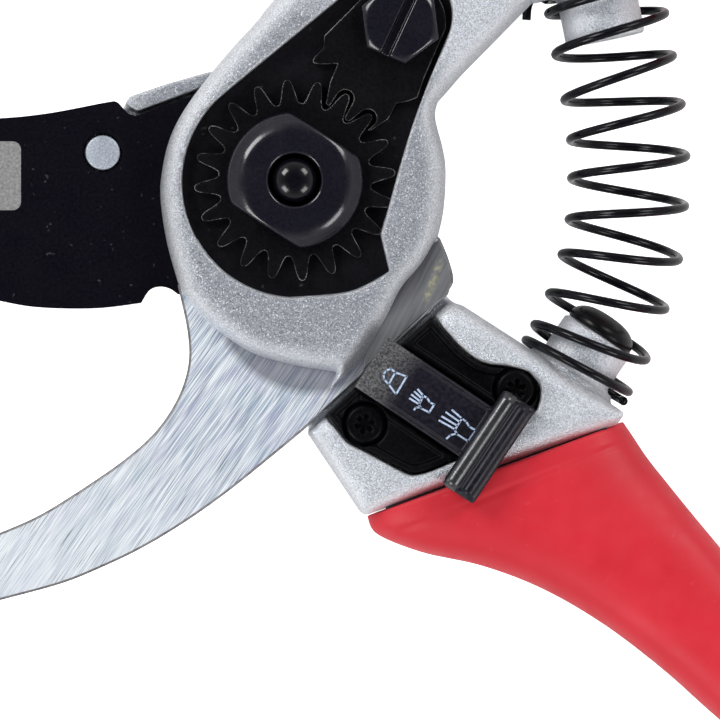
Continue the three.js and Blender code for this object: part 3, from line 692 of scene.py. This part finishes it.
SILVER = cast_silver()
BRUSHED = brushed_steel()
MACHINED = machined_steel()
SIDE = side_steel()
RED = red_plastic()
BLADE_BLACK = coated("blade_black", (0.0016, 0.0013, 0.0036), 0.5, specks=0.14, shine=0.05)
GEAR_BLACK = coated("gear_black", (0.0018, 0.0017, 0.0025), 0.42, shine=0.08)
# painted highlight for the rounded edges of the gear and the segment
GEAR_EDGE_HIGHLIGHT = painted_edge_highlight()
SHEET_BLACK = coated("sheet_black", (0.0022, 0.002, 0.0035), 0.5, specks=0.12, shine=0.1)
STEEL_BLACK = coated("steel_black", (0.0045, 0.0042, 0.008), 0.18, strength=0.1, shine=0.6)
BOLT_BLACK = coated("bolt_black", (0.0014, 0.0014, 0.003), 0.15, strength=0.05, shine=0.42)
SCREW_BLACK = coated("screw_black", (0.0012, 0.0012, 0.0016), 0.35, strength=0.2, shine=0.07)
SPRING_BLACK = coated("spring_black", (0.002, 0.002, 0.0035), 0.17, strength=0.1, shine=0.22)
PLASTIC_BLACK = coated("plastic_black", (0.0014, 0.0014, 0.002), 0.4, grain=1700, strength=0.3, shine=0.07)
SLIDER_BLACK = slider_plastic()
RIB_GREY = coated("rib_grey", (0.014, 0.0145, 0.017), 0.27, grain=2600, strength=0.4, specks=0.7, shine=0.95)
PIN_GREY = coated("pin_grey", (0.31, 0.34, 0.385), 0.4, 0.4, grain=5200, strength=0.6, specks=0.6)
# painted shade: the collar is near black to stand for the shadowed gap between handle and grip
COLLAR_PAINTED_SHADE = coated("collar_painted_shade", (0.012, 0.009, 0.012), 0.5, 0.2)
RUBBER_BLACK = coated("rubber_black", (0.0015, 0.0015, 0.002), 0.3, strength=0.15, shine=0.22)
BRIGHT = coated("bright_steel", (0.5, 0.5, 0.52), 0.28, 1.0)
BRONZE = coated("bronze", (0.42, 0.3, 0.12), 0.35, 1.0)
PRINT = coated("print_grey", (0.3, 0.37, 0.5), 0.5, grain=3000, strength=0.1)
LABEL = coated("label_grey", (0.165, 0.165, 0.165), 0.55, grain=2600, strength=0.3, specks=0.3)


def dress(piece, body, material, node=None):
    """Gives a piece its material and body, and hides the node it stands for."""
    piece.data.materials.clear()
    for each in material if isinstance(material, (list, tuple)) else (material,):
        piece.data.materials.append(each)
    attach(piece, body)
    if node:
        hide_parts(node)
    return piece


def paint(piece, rule):
    """Sets each face's material number from its middle, in millimetres, and its normal."""
    mesh = piece.data
    middles = np.zeros(len(mesh.polygons) * 3)
    normals = np.zeros(len(mesh.polygons) * 3)
    mesh.polygons.foreach_get("center", middles)
    mesh.polygons.foreach_get("normal", normals)
    chosen = rule(middles.reshape(-1, 3) / MM, normals.reshape(-1, 3))
    mesh.polygons.foreach_set("material_index", chosen.astype(np.int32))


# ---- Hook half ----


def hook_casting():
    """Raised body, upper handle and its spring boss, with the teardrop recess."""
    grid = Grid((-19, -27, 1), (50, 54, 18), 0.34)
    body = grid.prism(grid.area(BODY), HOOK_BOTTOM, BODY_TOP, 3.8, 0.3)
    neck = grid.prism(grid.area(NECK), PLATE_BOTTOM, BODY_TOP - 0.2, 4.2, 1.8)
    end, turn, radius, height = BOSS_UPPER
    boss = grid.lying_rod(end, turn, radius, height + 4)
    shape = joined(joined(body, neck, 0.4), boss, 1.2)
    recess = grid.prism(grid.area(RECESS), RECESS_FLOOR, BODY_TOP + 6)
    shape = cut(shape, recess, 0.35)
    shape = cut(shape, grid.prism(grid.disc(3.7), 0, 30))
    piece = solid("hook_body", grid, shape)
    return dress(piece, "hook_half", SILVER, "hook_forging")


def hook_flat():
    """The ground hook, its rounded edges in the side steel."""
    piece = plate("hook_jaw", HOOK, HOOK_BOTTOM, HOOK_TOP, 0.32)
    dress(piece, "hook_half", (BRUSHED, SIDE))
    piece.modifiers["edges"].material = 1
    piece.modifiers["edges"].use_clamp_overlap = False
    paint(piece, lambda middle, normal: np.where(np.abs(normal[:, 2]) > 0.5, 0, 1))
    return piece


def ledge():
    """Milled facet let into the hook's lobe."""
    points = outline(
        line((10, -18), (16, -10), (19.2, -7.9)),
        curve((20.3, -10.6), (20.8, -13.2), (20.4, -15.2)),
        line(on_shoulder(0.9, HOOK_REACH - 0.5), on_shoulder(-10.5, HOOK_REACH - 0.5)),
    )
    piece = plate("hook_ledge", points, HOOK_TOP - 0.2, HOOK_TOP + 0.35, 0.2, 2)
    return dress(piece, "hook_half", MACHINED)


def nut():
    """Nut with two flats and a broad chamfer round its top."""
    grid = Grid((-9.2, -9.2, GEAR_BOTTOM), (9.2, 9.2, NUT_TOP), 0.14)
    top = np.broadcast_to(grid.z - NUT_TOP, grid.x.shape + grid.z.shape[2:])
    chamfer = -joined(-grid.cone(7.25, NUT_TOP, 48), -top, 0.7)
    barrel = -joined(-chamfer, -grid.prism(grid.disc(9.1), GEAR_BOTTOM + 0.2, 40), 0.4)
    flats = grid.prism(grid.box((0, 0), -33, 40, 14.54), 0, 40)
    shape = -joined(-barrel, -flats, 0.35)
    shape = cut(shape, grid.prism(grid.disc(3.5), 0, 40), 0.45)
    return dress(solid("nut", grid, shape), "hook_half", STEEL_BLACK, "pivot_nut")


def bolt():
    """Pivot bolt with a flat round head below and a domed end above."""
    profile = [
        (0, 0), (7.6, 0), (8.1, 0.15), (8.4, 0.5), (8.5, 0.9), (8.5, 2.4), (8.4, 2.5),
        (3.4, 2.52), (3.4, 17.6), (2.95, 17.7), (2.95, 18.8), (2.85, 19.3),
        (2.55, 19.75), (2.1, 20.1), (1.5, 20.38), (0.8, 20.53), (0, 20.57),
    ]
    return dress(turned("bolt", profile), "hook_half", BOLT_BLACK, "pivot_bolt")


def paint_edges(piece, low=0.2, high=0.86):
    """Puts the second material on the rounding between upright sides and flat tops."""
    paint(piece, lambda middle, normal: np.where((normal[:, 2] > low) & (normal[:, 2] < high), 1, 0))


def gear():
    """Toothed wheel under the nut, its teeth rounded at their tips."""
    grid = Grid((-13.4, -13.4, GEAR_BOTTOM), (13.4, 13.4, GEAR_TOP), 0.1)
    teeth = grid.area(toothed(12.65, 10.05, -0.9)) - 0.45
    piece = solid("gear", grid, grid.prism(teeth, GEAR_BOTTOM, GEAR_TOP, 0.14, 0.05))
    dress(piece, "hook_half", (GEAR_BLACK, GEAR_EDGE_HIGHLIGHT), "adjuster_gear")
    paint_edges(piece)
    return piece


def segment():
    """Toothed plate that the locking screw holds against the gear."""
    grid = Grid((1, 7, GEAR_BOTTOM), (21, 29, GEAR_TOP), 0.12)
    points = outline(
        arc(6.1, 149, -8, LOCK_SCREW),
        line((17.2, 13.6), (16.3, 11), (15.1, 10.5), (13.5, 10.2), (12.4, 8.1)),
        line(polar(11, 33), polar(11, 68), (4.7, 13.1), (5.7, 15.5)),
        curve((2.8, 15.5), (2.5, 16.2), (3.8, 17.6)),
        line((3.9, 19.2)),
    )
    area = np.maximum(grid.area(points), 0.45 - grid.area(toothed(13.15, 10.4, 0.9)))
    piece = solid("segment", grid, grid.prism(area, GEAR_BOTTOM, GEAR_TOP + 0.1, 0.16, 0.05))
    dress(piece, "hook_half", (GEAR_BLACK, GEAR_EDGE_HIGHLIGHT), "locking_segment")
    paint_edges(piece)
    return piece


def backing():
    """Thin sheet on the recess's floor, under the gear."""
    piece = plate("backing", RECESS, RECESS_FLOOR, GEAR_BOTTOM - 0.05, 0.1, 1)
    return dress(piece, "hook_half", SHEET_BLACK, "adjuster_plate")


def lock_screw():
    """Slotted screw with a hexagon head."""
    x, y = LOCK_SCREW
    grid = Grid((x - 6, y - 6, RECESS_FLOOR), (x + 6, y + 6, 19.6), 0.14)
    sides = np.array([polar(5.6, 60 * i + 37, LOCK_SCREW) for i in range(6)])
    head = grid.prism(grid.area(sides), GEAR_TOP + 0.12, 19.2, 0.5, 0.2)
    crown = (grid.disc(4.6, LOCK_SCREW)[:, :, None] + (grid.z - 19.2) * 1.6) / 1.9
    shape = -joined(-head, -crown, 0.3)
    slot = grid.prism(grid.box(LOCK_SCREW, 65, 20, 1.2), 17.9, 30)
    shape = cut(shape, slot, 0.25)
    return dress(solid("lock_screw", grid, shape), "hook_half", STEEL_BLACK, "locking_screw")


def coil():
    """Middle line of the bowed coil, whose end turns are closed."""
    axis = np.array(spline(SPRING_AXIS, 60))
    lengths = np.concatenate([[0], np.cumsum(np.linalg.norm(np.diff(axis, axis=0), axis=1))])
    turns = np.linspace(0, SPRING_TURNS, int(SPRING_TURNS * 48) + 1)
    from_top = (turns - 0.5) / 0.9
    from_bottom = (SPRING_TURNS - turns - 0.7) / 1.3
    opening = np.clip(np.minimum(from_top, from_bottom), 0, 1)
    pitch = 0.25 + 0.75 * opening * opening * (3 - 2 * opening)
    share = np.concatenate([[0], np.cumsum((pitch[1:] + pitch[:-1]) / 2)])
    share *= lengths[-1] / share[-1]
    centre = np.stack([np.interp(share, lengths, axis[:, i]) for i in range(2)], axis=1)
    tangent = unit(np.gradient(axis, axis=0))
    direction = np.stack([np.interp(share, lengths, tangent[:, i]) for i in range(2)], axis=1)
    angle = np.pi + 2 * np.pi * turns
    across = SPRING_R * np.cos(angle)
    x = centre[:, 0] - direction[:, 1] * across
    y = centre[:, 1] + direction[:, 0] * across
    return np.stack([x, y, BOSS_Z + SPRING_R * np.sin(angle)], axis=1)


def spring():
    """Return spring with a short tail at the neck, stretched between its two bosses."""
    path = coil()
    tail = spline([(30.9, 21.5, BOSS_Z), (31.1, 23.4, BOSS_Z), (32.0, 25.0, BOSS_Z), tuple(path[0])], 6)
    piece = tube("spring", np.vstack([tail[:-1], path]), WIRE_R)
    piece.data.materials.append(SPRING_BLACK)
    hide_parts("return_spring")
    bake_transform(piece)
    return piece


def collar(name, body, upper):
    """Step of the handle that goes into the grip, near black as painted shade for the gap there."""
    corners = [(11.9, -43.2), (27.3, -37.9), (41.5, -32.6), (42.2, -34.8), (28, -41), (13, -46.2)]
    points = np.array([to_upper(p) if upper else p for p in corners])
    piece = plate(name, points, 2.6, 15.2, 0.5)
    return dress(piece, body, COLLAR_PAINTED_SHADE)


def grip_half_heights(count, rounded):
    """Half the grip's height at each section, less at its front lip and over its rounded end."""
    half = np.full(count, (GRIP_TOP - GRIP_BOTTOM) / 2)
    for k in range(rounded + 1):
        half[count - 1 - k] *= math.sqrt(1 - (1 - k / rounded) ** 2 * 0.82)
    half[:3] *= (0.955, 0.985, 0.997)
    return half


def grip(name, node, body, upper):
    """Soft grip drawn through its sections, with a rim line round its front edge."""
    outer = [s[0] for s in GRIP_SECTIONS]
    inner = [s[1] for s in GRIP_SECTIONS]
    if upper:
        outer, inner = [to_upper(p) for p in outer], [to_upper(p) for p in inner]
    steps, sides = 10, 64
    outer, inner = np.array(spline(outer, steps)), np.array(spline(inner, steps))
    count = len(outer)
    middle = (GRIP_TOP + GRIP_BOTTOM) / 2
    half = grip_half_heights(count, 2 * steps)
    vertices = []
    for k in range(count):
        groove = 0.35 * math.exp(-(((k - 11.5) / 0.55) ** 2))
        for i in range(sides):
            c, s = math.cos(2 * math.pi * i / sides), math.sin(2 * math.pi * i / sides)
            across = 0.5 + 0.5 * math.copysign(abs(c) ** 0.58, c)
            height = math.copysign(abs(s) ** 0.58, s)
            crown = 1 - 0.06 * (2 * across - 1) ** 2
            point = outer[k] + (inner[k] - outer[k]) * across
            vertices.append((*point, middle + height * (half[k] * crown - groove)))
    piece = mesh_object(name, np.array(vertices) * MM, skin(count, sides))
    face_outwards(piece)
    round_edges(piece, 0.35, 3, 60)
    return dress(piece, body, RED, node)


# ---- Blade half ----


def blade_sheet():
    """The blade's body, flat above and ground below to its convex edge."""
    n = len(BLADE)
    tips = np.array(CUTTING_EDGE)
    near = np.array([np.min(np.linalg.norm(np.array(spline(tips, 8)) - p, axis=1)) for p in BLADE])
    on_edge = near < 0.05
    along = unit(np.roll(BLADE, -1, axis=0) - np.roll(BLADE, 1, axis=0))
    inward = np.stack([along[:, 1], -along[:, 0]], axis=1)
    width = np.where(on_edge, np.clip((BLADE[:, 0] + 76.5) * 0.35, 0.4, 6.5), 0.0)
    under = BLADE + inward * width[:, None]
    rim = np.where(on_edge, BLADE_TOP - 0.3, BLADE_BOTTOM)
    vertices = [(x, y, BLADE_TOP) for x, y in BLADE]
    vertices += [(x, y, z) for (x, y), z in zip(BLADE, rim)]
    vertices += [(x, y, BLADE_BOTTOM) for x, y in under]
    faces = [tuple(range(n))]
    for i in range(n):
        j = (i + 1) % n
        faces.append((i, n + i, n + j, j))
        if on_edge[i] or on_edge[j]:
            faces.append((n + i, 2 * n + i, 2 * n + j, n + j))
    keep = [i for i in range(n) if on_edge[i] or on_edge[(i + 1) % n] or on_edge[i - 1]]
    bottom = [2 * n + i if i in keep else n + i for i in range(n)]
    faces.append(tuple(bottom)[::-1])
    piece = mesh_object("blade", np.array(vertices) * MM, faces)
    face_outwards(piece, 0.002)
    return piece


def blade():
    """Coated blade with a countersunk hole for its pin."""
    piece = blade_sheet()
    sink = turned("sink", [(0, 6), (2.62, 6), (2.62, 9.25), (3.2, 9.8), (0, 9.8)], BLADE_PIN, 48)
    hollow = piece.modifiers.new("pin_hole", "BOOLEAN")
    hollow.operation = "DIFFERENCE"
    hollow.object = sink
    bake(piece)
    bpy.data.objects.remove(sink)
    round_edges(piece, 0.1, 2, 30)
    return dress(piece, "blade_half", BLADE_BLACK, "cutting_blade")


def blade_casting():
    """Shoulder block, back plate, rib behind the blade and the lower spring boss."""
    grid = Grid((-30, -46, 1), (46, 19, 18), 0.4)
    block = grid.prism(grid.area(SHOULDER), PLATE_BOTTOM, SHOULDER_TOP, 2.8, 1.5)
    base = grid.prism(grid.area(BACK_PLATE), PLATE_BOTTOM, PLATE_TOP, 0.4, 1.2)
    rib = grid.prism(grid.area(RIB), PLATE_TOP - 2, BLADE_TOP, 0.3)
    end, turn, radius, height = BOSS_LOWER
    boss = grid.lying_rod(end, turn, radius, height + 4)
    collar = grid.lying_rod(polar(-height + 0.9, turn, end), turn, 6.3, 3, 0.3)
    shape = joined(joined(block, base, 0.8), rib)
    shape = joined(joined(shape, collar, 0.3), boss, 0.6)
    shape = cut(shape, grid.prism(grid.area(HOUSING), 13.5, 40), 0.5)
    shape = cut(shape, grid.prism(grid.disc(9.2), -5, 3.1), 0.3)
    shape = cut(shape, grid.prism(grid.disc(4.8), -5, 40))
    piece = solid("blade_body", grid, shape)
    return dress(piece, "blade_half", SILVER, "blade_forging")


def pin():
    """Pin whose slightly domed end shows in the blade's face."""
    profile = [(0, 4.1), (2.3, 4.1), (2.3, 9.3), (2.22, 9.42), (2.05, 9.48), (0, 9.5)]
    return dress(turned("pin", profile, BLADE_PIN, 48), "blade_half", PIN_GREY, "blade_pin")


def label():
    """Blank printed panel on the blade."""
    right, low, high, left, radius = -36.6 - 1.1, -3.9 + 1.1, 5.3 - 1.1, -58.0 + 1.1, 1.1
    corners = ((right, low, -90), (right, high, 0), (left, high, 90), (left, low, 180))
    runs = [arc(radius, turn, turn + 90, (x, y), 8) for x, y, turn in corners]
    piece = plate("label", outline(*runs), BLADE_TOP - 0.05, BLADE_TOP + 0.04, 0.02, 1)
    return dress(piece, "blade_half", LABEL)


def dome():
    """Rubber bumper in the lower boss."""
    profile = [(0, -7), (1.7, -7), (1.7, 0), (4.7, 0.02), (4.85, 0.3)]
    for angle in range(8, 90, 8):
        radius, height = polar(1.0, angle)
        profile.append((4.85 * radius**0.75, 0.5 + 2.4 * height))
    profile.append((0, 2.9))
    piece = turned("bumper_dome", profile, (0, 0), 64)
    end, turn, _, _ = BOSS_LOWER
    c, s = polar(1.0, turn)
    for v in piece.data.vertices:
        along, side, up = v.co.z, v.co.y, v.co.x
        v.co = (end[0] * MM + along * c - side * s, end[1] * MM + along * s + side * c, BOSS_Z * MM + up)
    face_outwards(piece)
    return dress(piece, "blade_half", RUBBER_BLACK, "bumper")


def housing():
    """Moulded housing in the block's pocket, with a channel for the slider."""
    grid = Grid((3, -40, 13.4), (33.2, -17, 17.2), 0.2)
    shape = grid.prism(grid.area(HOUSING) + 0.3, 13.55, 16.4, 0.3, 0.1)
    rim = np.maximum(grid.area(HOUSING) + 0.35, -grid.area(HOUSING) - 1.3)
    shape = joined(shape, grid.prism(rim, 14, 16.9, 0.25), 0.2)
    middle = on_catch(12, 0)
    shape = cut(shape, grid.prism(grid.box(middle, CATCH_TURN, 40, 8.2), 15.9, 30), 0.2)
    for side in (-4.7, 4.7):
        rail = grid.prism(grid.box(on_catch(9.5, side), CATCH_TURN, 17, 0.8), 14, 16.9, 0.25)
        shape = joined(shape, np.maximum(rail, grid.prism(grid.area(HOUSING) + 0.3, 13, 18)), 0.2)
    for centre in CATCH_SCREWS:
        shape = cut(shape, grid.prism(grid.disc(3.0, centre), 15.3, 30), 0.3)
    return dress(solid("housing", grid, shape), "blade_half", PLASTIC_BLACK, "catch_housing")


def catch_screw(index, centre):
    """Low domed screw head with a six-pointed socket."""
    x, y = centre
    grid = Grid((x - 2.8, y - 2.8, 14.8), (x + 2.8, y + 2.8, 17.2), 0.1)
    shape = grid.prism(grid.disc(2.6, centre), 15.0, 16.5, 0.6, 0.1)
    star = np.minimum.reduce([grid.box(centre, turn, 2.7, 0.62) for turn in (15, 75, 135)])
    shape = cut(shape, grid.prism(star, 15.7, 30), 0.15)
    node = f"catch_screw_{index}"
    return dress(solid(f"torx_{index}", grid, shape), "blade_half", SCREW_BLACK, node)


# ---- Catch ----


def slider():
    """Bar with a raised frame round its face and a ribbed thumb piece across its outer end."""
    grid = Grid((5, -46, 16.4), (33, -19, 22.3), 0.13)
    bar = grid.prism(grid.box(on_catch(8.6, 0), CATCH_TURN, 17.8, 7.9), SLIDER_BOTTOM, SLIDER_TOP, 0.4, 0.2)
    face = grid.prism(grid.box(on_catch(8.4, 0), CATCH_TURN, 16.2, 6.5), SLIDER_TOP - 0.3, 30)
    bar = cut(bar, face, 0.25)
    thumb_area = grid.box(on_catch(18.95, -0.7), CATCH_TURN, 4.0, 14.0) - 0.5
    thumb = grid.prism(thumb_area, SLIDER_BOTTOM, 21.6, 0.5, 0.3)
    for along, radius in ((17.6, 1.15), (19.95, 0.95)):
        rib = grid.capsule(on_catch(along, -0.7), CATCH_TURN + 90, 12.7, radius, 22.2 - radius)
        thumb = joined(thumb, rib, 0.25)
    keel = grid.prism(grid.box(on_catch(10.6, 0), CATCH_TURN, 8.6, 3.4), 16.6, SLIDER_BOTTOM + 0.4)
    shape = joined(joined(bar, thumb, 0.4), keel)
    piece = solid("slider", grid, shape)
    dress(piece, "catch", (SLIDER_BLACK, RIB_GREY), "catch_slider")
    c, s = polar(1.0, CATCH_TURN)

    def first_rib(middle, normal):
        along = (middle[:, 0] - CATCH_CENTRE[0]) * c + (middle[:, 1] - CATCH_CENTRE[1]) * s
        return np.where((np.abs(along - 17.6) < 0.85) & (middle[:, 2] > 21.3) & (normal[:, 2] > 0.3), 1, 0)

    paint(piece, first_rib)
    return piece


def pictogram(name, strokes):
    """Thin printed lines on the slider's face, each through points along and across the slider."""
    bottom, top, half_width = SLIDER_TOP - 0.3, SLIDER_TOP - 0.22, 0.125
    vertices, faces = [], []
    for stroke in strokes:
        path = [np.array(on_catch(*point)) for point in stroke]
        for a, b in zip(path, path[1:]):
            along = (b - a) / np.linalg.norm(b - a)
            side = np.array([-along[1], along[0]]) * half_width
            a, b = a - along * 0.08, b + along * 0.08
            low = len(vertices)
            for z in (bottom, top):
                vertices += [(*p, z) for p in (a - side, b - side, b + side, a + side)]
            faces += [(low + 3, low + 2, low + 1, low), (low + 4, low + 5, low + 6, low + 7)]
            faces += [(low + i, low + (i + 1) % 4, low + 4 + (i + 1) % 4, low + 4 + i) for i in range(4)]
    piece = mesh_object(name, np.array(vertices) * MM, faces, smooth=False)
    return dress(piece, "catch", PRINT)


PADLOCK = (
    ((3.15, 0.6), (4.7, 1.0), (4.85, -1.75), (3.3, -1.2), (3.15, 0.6)),
    ((3.3, -1.2), (2.45, -1.0), (2.0, -0.5), (2.0, 0.15), (2.4, 0.7), (3.15, 0.6)),
)
SMALL_HAND = (
    (
        (7.95, 0.1), (8.5, 0.15), (9.2, -0.15), (9.8, -0.05),
        (9.85, -1.3), (8.65, -1.45), (8.15, -1.2), (7.95, 0.1),
    ),
    ((7.95, 0.1), (6.9, 0.4)),
    ((8.0, -0.3), (6.7, -0.1)),
    ((8.05, -0.75), (6.6, -0.65)),
    ((8.15, -1.15), (6.65, -1.2)),
    ((8.5, -1.4), (8.0, -1.75), (8.0, -2.1)),
)
LARGE_HAND = (
    (
        (13.9, 0.45), (14.6, 0.4), (15.3, 0.1), (16.3, 0.15),
        (16.25, -1.6), (14.5, -1.65), (13.95, -1.35), (13.9, 0.45),
    ),
    ((13.9, 0.45), (12.2, 0.65)),
    ((13.9, -0.1), (11.7, -0.05)),
    ((13.9, -0.7), (11.55, -0.8)),
    ((13.95, -1.25), (11.55, -1.45)),
    ((14.4, -1.65), (13.85, -2.25), (13.7, -2.9)),
)


# ---- Assembly ----

hook_casting()
hook_flat()
ledge()
nut()
bolt()
gear()
segment()
backing()
lock_screw()
spring()
collar("collar_upper", "hook_half", True)
collar("collar_lower", "blade_half", False)
grip("grip_upper", "upper_grip", "hook_half", True)
grip("grip_lower", "lower_grip", "blade_half", False)
blade()
blade_casting()
pin()
label()
dome()
housing()
for number, centre in enumerate(CATCH_SCREWS, 1):
    catch_screw(number, centre)
slider()
pictogram("print_padlock", PADLOCK)
pictogram("print_small_hand", SMALL_HAND)
pictogram("print_large_hand", LARGE_HAND)

# the frame's own shape is right for the small hidden pieces, which only need a better material
for node, material in {
    "bolt_washer": BRIGHT,
    "friction_washer": BRIGHT,
    "detent_ball": BRIGHT,
    "detent_spring": BRIGHT,
    "pivot_bushing": BRONZE,
}.items():
    carried = frame["nodes"][node]
    carried.data.materials.clear()
    carried.data.materials.append(material)


# ---- Floor, light and camera ----


def floor():
    """Plain sweep that stays near white and sends less light back into the tool's sides."""
    look = Look("floor_white", (0.93, 0.93, 0.93), 0.9, Specular_IOR_Level=0.1)
    look.color(look.mix(look.spread(look.noise(3, 2), 0, 1), (0.9, 0.9, 0.9), (0.94, 0.94, 0.94)))
    seen = look.add("ShaderNodeLightPath").outputs["Is Camera Ray"]
    look.shader.inputs["Emission Color"].default_value = (1, 1, 1, 1)
    look.links.new(look.spread(seen, 0.0, 1.0, 0, 1), look.shader.inputs["Emission Strength"])
    size, height = 6.0, -0.0008
    corners = [(-size, -size, height), (size, -size, height), (size, size, height), (-size, size, height)]
    piece = mesh_object("floor", corners, [(0, 1, 2, 3)], smooth=False)
    piece.data.materials.append(look.material)


def lamp(name, azimuth, elevation, size, power):
    """Soft square light a metre away, aimed at the tool."""
    data = bpy.data.lights.new(name, "AREA")
    data.size = size
    data.energy = power
    light = bpy.data.objects.new(name, data)
    across, up = polar(1.0, elevation)
    place = Vector((*polar(across, azimuth), up))
    light.location = place
    light.rotation_euler = (-place).to_track_quat("-Z", "Y").to_euler()
    light.visible_camera = False
    bpy.context.scene.collection.objects.link(light)


def sky():
    """Studio surroundings: dark overhead, brightest a third of the way up."""
    world = bpy.data.worlds.new("studio")
    world.use_nodes = True
    nodes, links = world.node_tree.nodes, world.node_tree.links
    height = nodes.new("ShaderNodeSeparateXYZ")
    links.new(nodes.new("ShaderNodeTexCoord").outputs["Generated"], height.inputs[0])
    ramp = nodes.new("ShaderNodeValToRGB")
    links.new(height.outputs["Z"], ramp.inputs[0])
    stops = ramp.color_ramp.elements
    stops[0].position, stops[0].color = 0.0, (0.45, 0.45, 0.46, 1)
    stops[1].position, stops[1].color = 0.97, (0.05, 0.05, 0.06, 1)
    for position, level in ((0.35, 0.7), (0.75, 0.24)):
        stops.new(position).color = (level, level, level * 1.03, 1)
    links.new(ramp.outputs[0], nodes["Background"].inputs["Color"])
    nodes["Background"].inputs["Strength"].default_value = 0.9
    bpy.context.scene.world = world


def camera(centre, field, lens=600.0, sensor=36.0, level=12.0):
    """Long lens straight above a point, whose picture is this wide at the level of the tool's upper faces."""
    data = bpy.data.cameras.new("camera")
    data.lens = lens
    data.sensor_width = sensor
    data.clip_end = 100
    viewer = bpy.data.objects.new("camera", data)
    viewer.location = [c * MM for c in (*centre, level + field * lens / sensor)]
    bpy.context.scene.collection.objects.link(viewer)
    bpy.context.scene.camera = viewer


floor()
sky()
lamp("upper_left_softbox", 140, 44, 0.35, 4.2)
lamp("upper_right_softbox", 42, 42, 0.35, 2.9)
lamp("lower_left_softbox", -138, 42, 0.35, 3.3)
lamp("lower_right_softbox", -44, 40, 0.35, 2.7)

camera(centre=(8.67, -23.9), field=96.0)
bpy.context.scene.view_settings.view_transform = "Standard"
